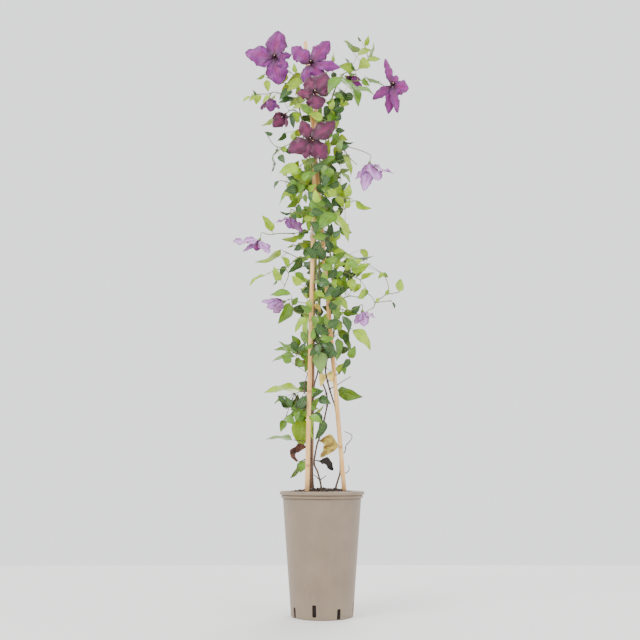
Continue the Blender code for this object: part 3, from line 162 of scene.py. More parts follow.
# Each leafy length of a climbing stem: its name, its axis, its twigs and its leaflets.
# An axis or twig point is column, row, depth. A leaflet is the column and row of its base,
# those of its tip, its width in photograph pixels and its tone.
LEAFY_LENGTHS = (
    Leafy(
        name="leafy_left_foot",
        axis=((323, 424.5, 2), (326.3, 410, 3), (327.5, 402, 3), (326, 392, 2), (321.5, 380, 0),
              (319, 366, -1), (319.5, 350, -1)),
        twigs=(((319.2, 356, -1), (318, 351, -10), (319.5, 348, -17)),),
        leaflets=(
            (324, 420, 315, 440, 9, "deep"), (319, 398, 331, 404, 9, "deep"),
            (316, 413, 324, 405, 3, "young"), (313, 397, 324, 390, 4, "deep"),
            (322.6, 373, 320.5, 387, 7, "fading"), (320.5, 352, 321.3, 374, 15, "underside"),
            (323, 352, 311, 343, 8, "deep"), (316, 338, 336.7, 359, 10, "deep"),
        ),
    ),
    Leafy(
        name="leafy_left_low",
        axis=((319.5, 350, -1), (318, 330, 0), (318.5, 310, 1), (318, 290, 1), (316.5, 272, 1)),
        twigs=(
            ((318.3, 300, 1), (308, 303, -3), (299, 302, -8), (291, 299, -14)),
        ),
        leaflets=(
            (309, 330, 307, 346, 6, "leaf"), (309, 317, 307, 341, 6, "young"),
            (306.2, 317.6, 294.7, 332.7, 7, "young"), (307.4, 305.5, 300.8, 318.8, 9, "deep"),
            (289.8, 303, 277.7, 324.2, 11, "leaf"), (293, 305, 298, 297, 6, "leaf"),
            (290.5, 294, 269.5, 295.2, 7, "leaf"), (305, 286, 308, 300, 5, "young"),
            (328, 287, 312, 282, 5, "underside"), (314.7, 291.5, 326.2, 299.4, 6, "young"),
            (314, 304, 321, 313, 5, "fading"), (314, 326, 330, 334, 10, "deep"),
        ),
    ),
    Leafy(
        name="leafy_left_mid",
        axis=((316.5, 272, 1), (316, 255, 1), (315, 235, 1), (313.8, 215, 1), (313.2, 196, 1)),
        twigs=(
            ((316, 256, 1), (308, 258, 2), (299, 258, 0), (290, 254, -4), (283, 251, -8)),
            ((299, 258, 0), (292, 263, -6), (285, 268, -12), (276, 270, -16), (266.5, 274.3, -18)),
            ((285, 268, -12), (288.5, 275, -12), (283.2, 289, -12)),
            ((315.4, 243, 1), (308, 243, 3), (301, 243.5, 1), (294, 246, -2), (289.4, 247.5, -3)),
            ((314.6, 228, 1), (306, 231, 1), (294, 233.5, -5)),
            ((313.6, 210, 1), (306, 211.5, 3), (298, 209, 3), (293, 206, 2)),
        ),
        leaflets=(
            (280.8, 249.7, 254.4, 262.7, 6, "young"), (293, 244, 287, 247.5, 2, "leaf"),
            (301.5, 246.5, 293.5, 250.5, 6, "deep"), (298, 243, 312.5, 259, 6, "young"),
            (282, 256.4, 288.6, 269, 6, "young"), (280.8, 280.6, 273.5, 266, 8, "young"),
            (285, 266, 281, 277, 6, "deep"), (265.6, 275, 249.2, 286, 3, "young"),
            (276.5, 280, 273, 285.5, 2, "leaf"), (302, 258, 288, 273, 8, "deep"),
            (309, 256, 297, 259, 5, "leaf"), (295.3, 272.7, 305.6, 281.8, 6.5, "leaf"),
            (298.3, 236, 281.1, 239.2, 6, "young"), (272.2, 231.5, 262, 215, 8, "young"),
            (306, 215, 302, 225, 5, "leaf"), (307, 219, 308, 232, 5, "young"),
            (290.7, 213, 279.2, 211.1, 2.5, "deep"), (293, 214, 296.5, 220, 5, "deep"),
            (308, 211, 288.8, 214.3, 9, "leaf"), (297.7, 199, 286.5, 208, 7, "leaf"),
            (300, 200, 302.5, 191.5, 5, "young"), (287, 194, 279.2, 205.4, 2, "leaf"),
            (314.3, 195.8, 321.3, 200.9, 4, "underside"),
        ),
    ),
    Leafy(
        name="leafy_left_high",
        axis=((313.2, 196, 1), (312.3, 180, 1), (310.6, 162, 1), (307, 144, 2), (304, 128, 3)),
        twigs=(
            ((310.3, 160, 1), (304, 163, -6), (298, 167, -10), (290, 169, -12)),
            ((312.6, 186, 1), (304, 184, -3), (296, 186, -6), (287, 182, -9), (280.5, 180.5, -11)),
            ((305.5, 136, 2), (299, 139, -3), (291, 143, -7), (283, 147, -10), (277.5, 147, -12),
             (272.5, 143.5, -13), (267.5, 135.5, -14)),
            ((283, 147, -10), (277, 152, -11), (272.5, 156.5, -12)),
        ),
        leaflets=(
            (295.2, 190.7, 288, 193.5, 6, "leaf"), (296, 187, 297.8, 194.5, 2, "deep"),
            (292, 182, 299.5, 187, 4, "leaf"), (279.5, 180.8, 273.8, 189.1, 3, "deep"),
            (299, 168, 278.5, 173, 11, "young"), (292, 170, 299, 160, 6, "young"),
            (280, 155, 285, 163.5, 7, "deep"), (312, 160, 305, 177, 9, "underside"),
            (272, 157.5, 271.6, 172.2, 2.2, "deep"), (277.5, 148, 272.5, 156, 2, "deep"),
            (283.8, 152.4, 284.6, 145.5, 6, "young"), (297, 137, 287, 149, 6, "leaf"),
            (300, 139, 288.5, 149.5, 5, "leaf"), (296, 136, 303.5, 126.5, 7, "young"),
            (293, 141, 300, 128, 6, "young"), (285.8, 132.9, 277.2, 140.9, 5, "deep"),
            (272.9, 134, 264, 131.7, 4, "deep"), (309, 192, 317, 184, 6, "young"),
            (308.5, 191, 310.5, 182, 5, "young"),
        ),
    ),
    Leafy(
        name="leafy_left_crown",
        axis=((304, 128, 3), (300, 112, 3), (298, 98, 2), (299, 84, 0), (302, 72, 0)),
        twigs=(
            ((298, 98, 2), (290, 97, 6), (281, 94, 8), (275, 92, 8), (268, 94, 6), (262, 94, 4),
             (252, 95, 2)),
            ((299, 84, 0), (290, 84, 4), (280, 82, 6), (272, 80, 6), (266.5, 77, 5)),
        ),
        leaflets=(
            (293, 112, 294, 129, 6, "deep"), (294, 104, 318.5, 122.5, 8, "young"),
            (305, 99.5, 288.4, 107, 8, "young"), (294, 99, 278, 103, 6, "deep"),
            (291, 90, 279, 100, 8, "deep"), (290, 84, 281, 95, 7, "young"),
            (303, 78, 287, 83, 12, "young"), (296, 73, 294, 63, 5, "young"),
            (303, 74, 306.5, 63.5, 4, "young"), (271, 95, 263, 104, 4, "young"),
            (275.5, 94.5, 268, 101, 3, "young"), (266.9, 80.1, 268.3, 92.2, 7, "young"),
            (264.9, 74.4, 256, 79.2, 3.5, "young"), (258.5, 93.5, 256, 104.8, 8, "young"),
            (257, 95, 249, 101, 5, "young"), (250.5, 96.8, 242.5, 101.9, 3, "young"),
            (255, 95.5, 252.5, 89.5, 2.5, "deep"), (275.2, 116.2, 261.1, 126, 4, "young"),
        ),
    ),
    Leafy(
        name="leafy_right_foot",
        axis=((338, 430, 6), (335.4, 408, 4), (332.3, 398, 3), (329.6, 389, 3), (327, 379, 3),
              (325.5, 371, 4), (326.8, 361, 6), (330, 348, 9), (333.5, 335, 9)),
        twigs=(
            ((329.8, 389.5, 3), (337, 385, 6), (344, 380.5, 7), (350.8, 376.4, 8)),
            ((327.8, 382, 3), (334, 377.5, 6), (342, 370, 8), (350.8, 360.7, 9)),
        ),
        leaflets=(
            (330.5, 371.4, 331.7, 383, 7, "fading"), (337.9, 389.7, 363.2, 397.1, 12.5, "leaf"),
            (337.9, 338.3, 336.3, 361.5, 8, "leaf"),
        ),
    ),
    Leafy(
        name="leafy_right_low",
        axis=((333.5, 335, 9), (334.5, 318, 7), (334, 300, 5), (332.5, 282, 4), (331, 262, 3)),
        twigs=(
            ((331.8, 272, 3), (339, 272, 0), (347, 273, -4), (354, 277, -6), (361, 280, -8)),
            ((334, 300, 5), (341, 299, 0), (350, 296, -5), (358, 297, -8), (365.5, 293.5, -9),
             (371.2, 296.2, -9), (375, 302.5, -9)),
            ((375, 302.5, -9), (380.5, 298.6, -10), (386, 294, -11), (388.6, 288, -11),
             (386.5, 280, -11), (383.3, 273, -11)),
            ((386, 294, -11), (392, 293.5, -12), (398.5, 292.3, -12)),
            ((375, 302.5, -9), (386, 301.3, -9), (391.5, 300.5, -9)),
            ((375, 302.5, -9), (373.6, 307.5, -8), (367.4, 310.6, -6)),
            ((334.8, 318, 7), (341, 322, 8), (347, 326, 8), (352, 329, 7)),
            ((334.2, 308, 6), (340, 309, 2), (347, 311, 0)),
        ),
        leaflets=(
            (347.9, 331.6, 351.2, 351.5, 6, "underside"), (352.8, 330, 371, 350.7, 11, "young"),
            (333, 306, 337, 323, 7, "leaf"), (343, 316, 349, 334, 8, "deep"),
            (343.2, 313.4, 358.5, 314, 7, "leaf"), (351.5, 311.5, 360.4, 305.8, 7, "deep"),
            (335.5, 298, 348.3, 310.3, 8, "young"), (335, 300, 340, 313, 4, "young"),
            (346, 291, 331, 296, 5, "deep"), (324, 286, 337, 294, 8, "deep"),
            (334.2, 279, 335.5, 289.2, 6, "young"), (343, 275.8, 348.3, 289.8, 7, "leaf"),
            (350.8, 291, 355.3, 282.2, 7, "leaf"), (359, 298.8, 365.5, 287.3, 6, "young"),
            (392, 302, 394.5, 309, 2.5, "deep"), (376.3, 302, 379.5, 297.5, 3.5, "young"),
            (385.9, 295, 389, 288.6, 4, "young"), (399.3, 291.8, 400.5, 278.4, 8.5, "young"),
            (383, 272.5, 378, 279, 4.5, "young"), (383, 273, 388.5, 277.5, 4.5, "leaf"),
            (361, 279.6, 375, 272.6, 5, "young"), (350.8, 270, 371.2, 263, 8.5, "young"),
            (341.9, 261.8, 349.5, 270, 7, "deep"),
        ),
    ),
    Leafy(
        name="leafy_right_mid",
        axis=((331, 262, 3), (329.5, 245, 3), (328.6, 228, 3), (326.5, 210, 3), (325, 190, 3)),
        twigs=(
            ((330, 250, 3), (336, 252, 0), (343, 254.5, -2)),
            ((329.3, 243, 3), (333, 239, 3), (337.6, 232.6, 3)),
            ((325.3, 197, 3), (331, 196.5, 0), (337.5, 195.5, -3)),
            ((326.7, 214, 3), (335, 212, 3), (345, 208.5, 2), (351, 202, 1), (355, 200.8, 0)),
        ),
        leaflets=(
            (332.3, 252.2, 355.9, 260.5, 7, "young"), (335.5, 256, 333.6, 273.3, 7, "young"),
            (345.7, 254.1, 373.8, 256, 2, "deep"), (329.8, 265.5, 310.5, 270.3, 6, "young"),
            (322, 240, 334, 247, 6, "deep"), (319, 247, 324, 260, 8, "deep"),
            (334.4, 216, 348.8, 242.8, 9, "young"), (335, 213.5, 316.5, 231.5, 14, "leaf"),
            (321, 200, 333, 207, 9, "deep"), (355.5, 200.7, 372, 208.4, 6.5, "young"),
            (338, 194, 338.3, 180.3, 8, "young"), (339, 194.5, 349.7, 190.5, 7, "young"),
            (339, 196, 350.4, 198.2, 5, "young"), (337, 195, 326.8, 190, 8, "young"),
            (336, 197, 344, 208.4, 7, "young"), (318, 184, 328, 197, 8, "deep"),
        ),
    ),
    Leafy(
        name="leafy_right_high",
        axis=((325, 190, 3), (324.5, 170, 3), (325, 150, 4), (327, 130, 5), (329, 110, 5)),
        twigs=(
            ((325.2, 148, 4), (331, 145.5, -2), (338, 144.8, -6)),
            ((338, 144.8, -6), (344, 150, -8), (349.7, 157.7, -8), (357, 165, -9)),
            ((324.6, 173, 3), (332, 171.7, 0), (341.8, 173, -2)),
        ),
        leaflets=(
            (322, 161, 325, 180, 8, "underside"), (326, 183, 328.5, 166, 9, "underside"),
            (329, 155, 328.5, 138, 7, "young"), (333.5, 141, 339.5, 132, 7, "leaf"),
            (337, 139.5, 354, 142.6, 3.5, "deep"), (338.8, 144.4, 340, 166, 10, "young"),
            (344.2, 156.5, 351.5, 175.9, 6, "young"), (347.5, 156.5, 348, 161.5, 2, "deep"),
            (336.4, 161.4, 331.5, 164, 3, "deep"), (342, 173.5, 350.5, 183.5, 4, "underside"),
            (328.4, 117, 338.9, 117.4, 6, "leaf"), (328.2, 105.7, 324.2, 117.4, 8, "deep"),
            (321, 113, 319, 122, 3, "young"),
        ),
    ),
    Leafy(
        name="leafy_right_crown",
        axis=((329, 110, 5), (333, 95, 5), (338, 82, 4), (343, 74, 4)),
        twigs=(
            ((343, 74, 4), (350, 71, 4), (357, 70, 5), (364, 64, 6), (368, 59, 6), (366.5, 52, 6),
             (365, 46, 6)),
            ((341, 77, 4), (350, 81, 9), (362, 80.5, 11), (373, 82, 10)),
            ((338, 82, 4), (333, 72, 6), (331, 62, 6)),
        ),
        leaflets=(
            (341.8, 77.8, 358.7, 107.2, 10, "leaf"), (344, 78.6, 360.2, 97.6, 9, "leaf"),
            (341, 77, 328, 95, 10, "leaf"), (338.9, 88.1, 344, 103.5, 6, "deep"),
            (339.3, 110.8, 329.3, 98.4, 6, "leaf"), (338.9, 102.8, 349.9, 104.2, 7, "young"),
            (331.5, 106.4, 334.5, 115.2, 6, "young"), (355.8, 88.1, 374.1, 94.7, 4.5, "underside"),
            (363, 78.6, 369.7, 86, 6, "leaf"), (380, 81.5, 363.8, 75.3, 3, "underside"),
            (354, 70, 338, 66, 9, "young"), (347.7, 72, 357.2, 74.2, 3, "underside"),
            (368, 60.5, 358, 69, 12, "young"), (368.2, 61, 381.4, 59.1, 5, "young"),
            (358, 54.5, 372.3, 50, 6, "young"), (364.9, 45.9, 368.6, 35.3, 5, "young"),
            (360.9, 50.7, 345.5, 40, 5.5, "underside"), (350.3, 49.2, 343.3, 39.7, 3, "underside"),
            (368.2, 57.3, 374.1, 41.5, 3, "underside"), (361.3, 40.8, 357.6, 36, 2, "deep"),
            (348.8, 66.1, 344, 57.3, 3, "deep"), (355, 69.8, 351.4, 61.3, 2.5, "deep"),
            (331, 62, 333.5, 51.5, 3, "young"),
        ),
    ),
    Leafy(
        name="leafy_back_foot",
        axis=((312.3, 472, 19), (311.2, 450, 16), (311, 430, 12), (311.8, 408, 6), (313, 393, 4)),
        twigs=(
            ((311, 441, 14), (303, 441, 6), (294, 440, 0)),
            ((311.5, 458, 17), (305, 459.5, 8), (299, 462, 2)),
        ),
        leaflets=(
            (303, 419, 301, 448, 22, "young"), (313, 417, 313, 440, 5, "young"),
            (291.9, 440, 264.8, 439.7, 4, "underside"), (298.3, 463, 289.7, 478.6, 5, "underside"),
            (305, 461, 300, 473, 9, "leaf"),
        ),
    ),
    Leafy(
        name="leafy_back_low",
        axis=((313, 393, 4), (315, 382, 7), (318, 370.5, 12), (319, 350, 18), (318.5, 335, 21),
              (319.5, 315, 22), (320, 300, 22)),
        twigs=(
            ((313.2, 391, 4), (308, 392, -3), (301.5, 391.5, -7), (293, 393, -9)),
            ((318.8, 355, 16), (311, 352, 7), (304, 350, 1), (296, 354, 0)),
            ((304.5, 391.8, -5), (304.5, 385, -4), (308, 372, 0)),
        ),
        leaflets=(
            (301.4, 391.3, 262.9, 393, 8, "young"), (286.5, 396.3, 274, 404.6, 3.5, "leaf"),
            (298, 393.8, 284.4, 409.6, 4.5, "leaf"), (306.4, 395.5, 282.4, 420, 7, "leaf"),
            (307, 398, 297, 416, 9, "deep"), (313, 408, 319, 397, 6, "leaf"),
            (303.9, 347.4, 277.8, 341.2, 8, "leaf"), (291.5, 353.2, 273.2, 349.9, 4, "leaf"),
            (294.8, 356.5, 271.6, 361.9, 5, "underside"), (308.9, 354.9, 305.2, 372.7, 9, "leaf"),
        ),
    ),
    Leafy(
        name="leafy_back_mid",
        axis=((320, 300, 22), (319.5, 275, 21), (319, 255, 20), (319, 236, 20), (319.2, 225, 19)),
        twigs=(),
        leaflets=(
            (312, 296, 300, 288, 8, "leaf"), (326, 292, 338, 282, 9, "leaf"),
            (313, 268, 303, 262, 8, "deep"), (325, 264, 337, 258, 9, "leaf"),
            (313, 246, 302, 240, 8, "leaf"), (326, 242, 334, 232, 8, "deep"),
            (318, 284, 320, 268, 9, "deep"), (319, 234, 313, 222, 9, "leaf"),
        ),
    ),
    Leafy(
        name="leafy_back_high",
        axis=((319.2, 225, 19), (319.8, 202, 18), (320.2, 185, 16), (320, 165, 15), (319, 150, 14)),
        twigs=(),
        leaflets=(
            (314, 215, 303, 206, 9, "leaf"), (325, 212, 335, 203, 9, "leaf"),
            (314, 190, 304, 182, 9, "deep"), (325, 185, 334, 178, 9, "deep"),
            (315, 168, 306, 158, 9, "leaf"), (325, 166, 333, 156, 9, "leaf"),
            (320, 208, 322, 194, 9, "leaf"), (318, 176, 316, 162, 9, "leaf"),
        ),
    ),
    Leafy(
        name="leafy_back_crown",
        axis=((319, 150, 14), (318.5, 130, 15), (318, 118, 16), (317, 104, 18), (315, 90, 20),
              (314, 76, 22)),
        twigs=(),
        leaflets=(
            (314, 140, 304, 132, 9, "leaf"), (324, 138, 333, 128, 9, "leaf"),
            (313, 118, 322, 107, 9, "leaf"), (324, 114, 334, 106, 9, "deep"),
            (312, 98, 302, 92, 10, "deep"), (321, 94, 331, 88, 10, "deep"),
            (310, 80, 300, 74, 9, "leaf"), (319, 80, 327, 72, 9, "leaf"),
        ),
    ),
)

# The woody foot of each stem, and the point where its leafy length takes over
WOODY_STEMS = (
    Wood(
        name="woody_stem_left",
        axis=((321.5, 494, 0), (321, 486, 0), (319.8, 480, 0), (317.2, 471, 0), (314.2, 463, 0),
              (316.5, 447, 0), (319.3, 438, 0), (323, 424.5, 2)),
        twigs=(
            ((319.8, 480, 0), (316, 476.5, -3), (312.9, 474.4, -5)),
            ((319.8, 480, 0), (323, 478, -2), (326.3, 475.7, -4)),
        ),
    ),
    Wood(
        name="woody_stem_right",
        axis=((336, 494, 2), (336, 487, 2), (338.3, 479, 2), (340.3, 471, 3), (340, 455, 6),
              (338, 430, 6)),
        twigs=(
            ((340, 455, 6), (344.8, 452, 7), (346, 445.7, 7), (351.5, 438.7, 7),
             (351, 434.5, 7), (344.5, 431.5, 7)),
            ((340.3, 468, 3.5), (345, 473, 3), (349, 470, 2), (348.5, 465.5, 2)),
        ),
    ),
    Wood(
        name="woody_stem_back",
        axis=((313.5, 494, 20), (313.2, 487, 20), (312.3, 472, 19)),
        twigs=(),
    ),
)

# Each bloom: its name, its centre, the way it faces, its tone, and for each sepal the column
# and row of its tip, how far the tip lies behind the centre, and its width in pixels
BLOOMS = (
    Bloom("bloom_crown_left", "leafy_left_crown",
          ((299.6, 80, 0), (291, 73, 9), (282, 65, 9)),
          (274.3, 58.3, -10), (0.05, -1, 0.1), "violet",
          ((278.6, 30, 6, 20), (244.5, 52.6, 4, 19), (257.5, 65.8, -2, 10), (279.4, 85.3, 2, 21),
           (289, 67.5, -4, 10), (292, 55, 3, 9))),
    Bloom("bloom_crown_centre", "leafy_left_crown",
          ((302, 72, 0), (306, 69, -9)),
          (311, 63.9, -30), (-0.05, -1, 0.1), "violet",
          ((291.2, 46.3, 4, 16), (330, 40.8, 5, 16), (341, 67.6, 0, 12), (324, 79, 4, 13),
           (303, 83, 5, 11))),
    Bloom("bloom_crown_front", "leafy_left_crown",
          ((299, 89, 1), (303, 93, -14), (308, 94.5, -30)),
          (315, 93, -55), (0, -1, 0.05), "wine",
          ((296.4, 93.6, 2, 11), (316.8, 110, 0, 19), (331, 86, 2, 14), (327, 73.5, 6, 22),
           (307, 77, 4, 15))),
    Bloom("bloom_centre", "leafy_left_high",
          ((306.6, 142, 2), (306, 145, -8), (308, 143.5, -20)),
          (310.3, 140.3, -40), (0, -1, 0.05), "wine",
          ((301.4, 120.2, 2, 13), (335.6, 121.8, 4, 18), (326.8, 159, 2, 18), (287.8, 152, 2, 16),
           (304.5, 159, 1, 11))),
    Bloom("bloom_right", "leafy_right_crown",
          ((373, 82, 10), (382, 84.6, 9)),
          (391.5, 85.5, -5), (0.25, -1, 0.05), "violet",
          ((385, 58, 0, 8), (397, 75.5, 5, 9), (409.3, 88.3, 3, 16), (397.5, 114, -5, 9),
           (388.3, 114.6, 3, 10), (372, 100, -2, 9))),
    Bloom("bloom_left_side", "leafy_left_crown",
          ((271, 93, 7),),
          (269.5, 99.5, 2), (-0.1, -0.35, -1), "violet",
          ((260.5, 109.6, -6, 9), (270.5, 112.5, -16, 11), (280, 108.8, -4, 9), (271, 109, 14, 8))),
    Bloom("bloom_left_lower", "leafy_left_crown",
          ((300.5, 114, 3), (294, 110, -2)),
          (285, 114.5, -14), (-0.5, -0.5, -0.7), "wine",
          ((272, 118.6, -4, 9), (272.6, 127.6, -12, 12), (286.5, 127.4, -8, 9), (281, 126, 8, 8))),
    Bloom("bloom_nodding_right", "leafy_right_high",
          ((338, 144.8, -6), (346, 146.2, -8), (360.6, 150.5, -10)),
          (369.5, 163.5, -10), (-0.1, 0.5, -0.85), "lilac",
          ((395, 174, -6, 13), (379, 180.5, -20, 17), (363.8, 191.8, -14, 12), (355, 179.5, 0, 9),
           (366, 181, 8, 9))),
    Bloom("bloom_nodding_left", "leafy_left_mid",
          ((294, 233.5, -5), (280.5, 233.4, -12), (269, 234.5, -17)),
          (259.5, 240.3, -20), (-0.3, 0.5, -0.8), "lilac",
          ((232, 241.8, -16, 15), (242.5, 251.2, -12, 6), (268.8, 253.8, -14, 13),
           (256, 251, 10, 9))),
    Bloom("bloom_arched", "leafy_left_mid",
          ((314, 219, 1), (306, 215, -10), (299, 213.5, -22)),
          (290.5, 217.5, -32), (-0.1, 0.4, -0.9), "violet",
          ((275.4, 222.6, -2, 7), (289.5, 228.5, -12, 10), (300.9, 233, -8, 14),
           (293, 229, 8, 8))),
    Bloom("bloom_low_left", "leafy_left_low",
          ((318.5, 318, 1), (311, 316, -6), (303, 314, -14), (294, 311, -19)),
          (283.5, 302, -22), (-0.9, 0.4, -0.25), "lilac",
          ((260.8, 301.5, -10, 7), (266.4, 307.6, -14, 9), (273, 312.8, -10, 10), (268, 304, 8, 8))),
    Bloom("bloom_low_right", "leafy_right_low",
          ((347, 311, 0), (354, 309, 3)),
          (362.5, 312.2, 8), (0.1, 0.5, -0.85), "lilac",
          ((375.7, 317.6, -4, 9), (354.6, 324, -8, 9), (364.5, 326.8, -12, 11), (366, 323, 12, 8))),
    Bloom("bloom_hidden", "leafy_right_crown",
          ((342, 75.5, 4),),
          (347, 77, 19), (0.9, -0.1, -0.4), "violet",
          ((362.5, 86, 2, 7), (356, 86, 8, 6), (361, 80, 14, 6))),
)

# Each cane: the column, row and depth of its foot at the soil and of its tip
CANES = (
    Cane("cane_left", (307, 489, -36), (317, 72, -2)),
    Cane("cane_right", (344, 487, -12), (305.5, 42, 5)),
    Cane("cane_back", (311, 489, 38), (315.7, 110, 7)),
)
TIE_ROWS = {"tie_upper": 202.5, "tie_lower": 236}

# The order of each stem's lengths, from the soil up
STEM_ORDER = (
    ("woody_stem_left", "leafy_left_foot", "leafy_left_low", "leafy_left_mid",
     "leafy_left_high", "leafy_left_crown"),
    ("woody_stem_right", "leafy_right_foot", "leafy_right_low", "leafy_right_mid",
     "leafy_right_high", "leafy_right_crown"),
    ("woody_stem_back", "leafy_back_foot", "leafy_back_low", "leafy_back_mid",
     "leafy_back_high", "leafy_back_crown"),
)

# Shrivelled leaves near the foot: where each curls through, and its width there in pixels
DEAD_LEAVES = (
    DeadLeaf("withered_leaf", "woody_stem_left", "withered_leaf",
             ((318.4, 441, 0), (322.5, 440.5, -4), (327, 440, -6), (330.5, 446, -6),
              (326.5, 452.5, -5), (320.5, 457, -4)), (0, 5, 14, 15, 9, 2), 0.35),
    DeadLeaf("black_leaf", "woody_stem_left", "woody_stem_left",
             ((314.6, 460.5, 0), (320, 461, -3), (325, 461, -4), (329, 465.5, -4),
              (333.5, 470, -3)), (0, 2, 9, 8, 2), 0.5),
    DeadLeaf("dead_leaf", "leafy_back_foot", "dead_leaf",
             ((311.2, 449, 16), (305, 447, 4), (298, 447, 0), (292.5, 451, -2),
              (294, 457, -3), (297.6, 461.5, -2)), (0, 3, 9, 7, 5, 2), 0.5),
)

# Crowds of small leaflets, each with the photograph's columns and rows that it covers
THICKETS = (
    Thicket("leafy_left_crown", (286, 304), (66, 92), 14, ("young", "young", "leaf")),
    Thicket("leafy_left_crown", (276, 304), (92, 130), 16, ("deep", "leaf", "young")),
    Thicket("leafy_right_crown", (328, 356), (68, 108), 16, ("leaf", "deep", "young")),
    Thicket("leafy_right_high", (316, 346), (104, 152), 18, ("leaf", "young", "deep")),
    Thicket("leafy_left_high", (286, 312), (128, 194), 26, ("young", "leaf", "deep")),
    Thicket("leafy_right_high", (312, 342), (150, 192), 26, ("leaf", "underside", "deep")),
    Thicket("leafy_left_mid", (294, 318), (194, 262), 18, ("leaf", "young", "deep")),
    Thicket("leafy_right_mid", (314, 348), (190, 240), 22, ("leaf", "young", "deep")),
    Thicket("leafy_right_mid", (316, 336), (232, 264), 14, ("deep", "deep", "leaf")),
    Thicket("leafy_left_crown", (298, 320), (100, 126), 10, ("leaf", "deep", "young")),
    Thicket("leafy_left_high", (302, 324), (158, 200), 16, ("leaf", "young", "deep")),
    Thicket("leafy_right_mid", (306, 326), (196, 222), 10, ("leaf", "young", "deep")),
    Thicket("leafy_right_low", (322, 368), (246, 330), 52, ("leaf", "young", "deep")),
    Thicket("leafy_left_low", (298, 322), (272, 350), 18, ("leaf", "deep", "young")),
    Thicket("leafy_left_foot", (312, 336), (324, 356), 16, ("deep", "deep", "leaf")),
    Thicket("leafy_right_foot", (328, 352), (326, 366), 10, ("leaf", "deep", "young")),
    Thicket("leafy_back_crown", (300, 336), (78, 150), 20, ("deep", "deep", "leaf")),
    Thicket("leafy_back_high", (302, 338), (150, 226), 20, ("deep", "leaf", "deep")),
    Thicket("leafy_back_mid", (306, 340), (226, 300), 12, ("deep", "deep", "leaf")),
    Thicket("leafy_back_low", (284, 312), (392, 420), 18, ("leaf", "deep", "leaf")),
    Thicket("leafy_back_low", (286, 314), (340, 366), 10, ("leaf", "deep", "leaf")),
    Thicket("leafy_back_foot", (300, 322), (386, 416), 8, ("deep", "leaf", "deep")),
)


@dataclass(frozen=True)
class Viewpoint:
    """The place and lens of the camera that took the photograph."""

    eye_across: float = -0.0036
    eye_depth: float = -1.539
    eye_height: float = 0.238
    pitch: float = math.radians(10.4)
    focal_pixels: float = 850.0
    frame_pixels: float = 640.0
    sensor_mm: float = 36.0

    @property
    def eye(self) -> Vector:
        """The camera's place."""
        return Vector((self.eye_across, self.eye_depth, self.eye_height))

    def place(self, column: float, row: float, depth_mm: float) -> Vector:
        """Find the place that is seen at a photograph pixel.

        Args:
            column: The pixel's column.
            row: The pixel's row.
            depth_mm: How far the place lies behind the pot's axis, in millimetres.

        Returns:
            The place.
        """
        middle = self.frame_pixels / 2
        sideways = (column - middle) / self.focal_pixels
        up = (middle - row) / self.focal_pixels
        cosine, sine = math.cos(self.pitch), math.sin(self.pitch)
        ray = Vector((sideways, cosine - up * sine, sine + up * cosine))
        return self.eye + ray * ((depth_mm * MM - self.eye.y) / ray.y)

    def pixel_size(self, place: Vector) -> float:
        """Return the real length that one photograph pixel covers at a place."""
        ahead = Vector((0, math.cos(self.pitch), math.sin(self.pitch)))
        return (place - self.eye).dot(ahead) / self.focal_pixels

    def add_camera(self) -> None:
        """Add the scene's camera."""
        lens = bpy.data.cameras.new("photograph")
        lens.sensor_width = self.sensor_mm
        lens.lens = self.focal_pixels * self.sensor_mm / self.frame_pixels
        camera = bpy.data.objects.new("photograph", lens)
        camera.location = self.eye
        camera.rotation_euler = (math.pi / 2 + self.pitch, 0, 0)
        bpy.context.scene.collection.objects.link(camera)
        bpy.context.scene.camera = camera


VIEW = Viewpoint()


def smooth_path(points: Sequence[Vector], spacing: float, before: Optional[Vector] = None,
                after: Optional[Vector] = None) -> Path:
    """Run a smooth curve through points.

    Args:
        points: The places that the curve passes through.
        spacing: About how far apart the returned points lie.
        before: The place that the curve comes from, if any.
        after: The place that the curve goes on to, if any.

    Returns:
        Points along the curve, from the first place to the last.
    """
    ends = [before or 2 * points[0] - points[1], *points, after or 2 * points[-1] - points[-2]]
    path = []
    for before, start, end, after in zip(ends, ends[1:], ends[2:], ends[3:]):
        steps = max(1, round((end - start).length / spacing))
        for step in range(steps):
            t = step / steps
            path.append(0.5 * (2 * start + (end - before) * t
                               + (2 * before - 5 * start + 4 * end - after) * t ** 2
                               + (3 * start - before - 3 * end + after) * t ** 3))
    path.append(points[-1].copy())
    return path


def photo_path(places: Iterable[tuple], spacing: float) -> Path:
    """Return a smooth path through places given as column, row and depth."""
    return smooth_path([VIEW.place(*place) for place in places], spacing)


def chord_points(path: Sequence[Vector], spacing: float) -> Path:
    """Return points about that far apart along the straight pieces of a path."""
    points = []
    for start, end in zip(path, path[1:]):
        steps = max(1, round((end - start).length / spacing))
        points += [start.lerp(end, step / steps) for step in range(steps)]
    return points + [path[-1]]


def nearest(points: Iterable[Vector], place: Vector) -> Vector:
    """Return the one of some points that is nearest to a place."""
    return min(points, key=lambda point: (point - place).length)


def across(vector: Vector, axis: Vector, fallback: Vector) -> Vector:
    """Make a vector square to an axis.

    Args:
        vector: The vector.
        axis: A unit vector.
        fallback: What is made square instead where the first two are nearly parallel.

    Returns:
        The unit vector square to the axis.
    """
    flat = vector - axis * vector.dot(axis)
    if flat.length < 0.3 * vector.length:
        flat = fallback - axis * fallback.dot(axis)
    return flat.normalized()


def leaf_half_width(t: float) -> float:
    """Return an oval, pointed leaflet's half width at a fraction of its length, largest 1."""
    return math.sin(math.pi * t ** 0.62) ** 0.9


def sepal_half_width(t: float) -> float:
    """Return a sepal's half width at a fraction of its length, largest 1."""
    return math.sin(math.pi * t ** 0.9) ** 0.7


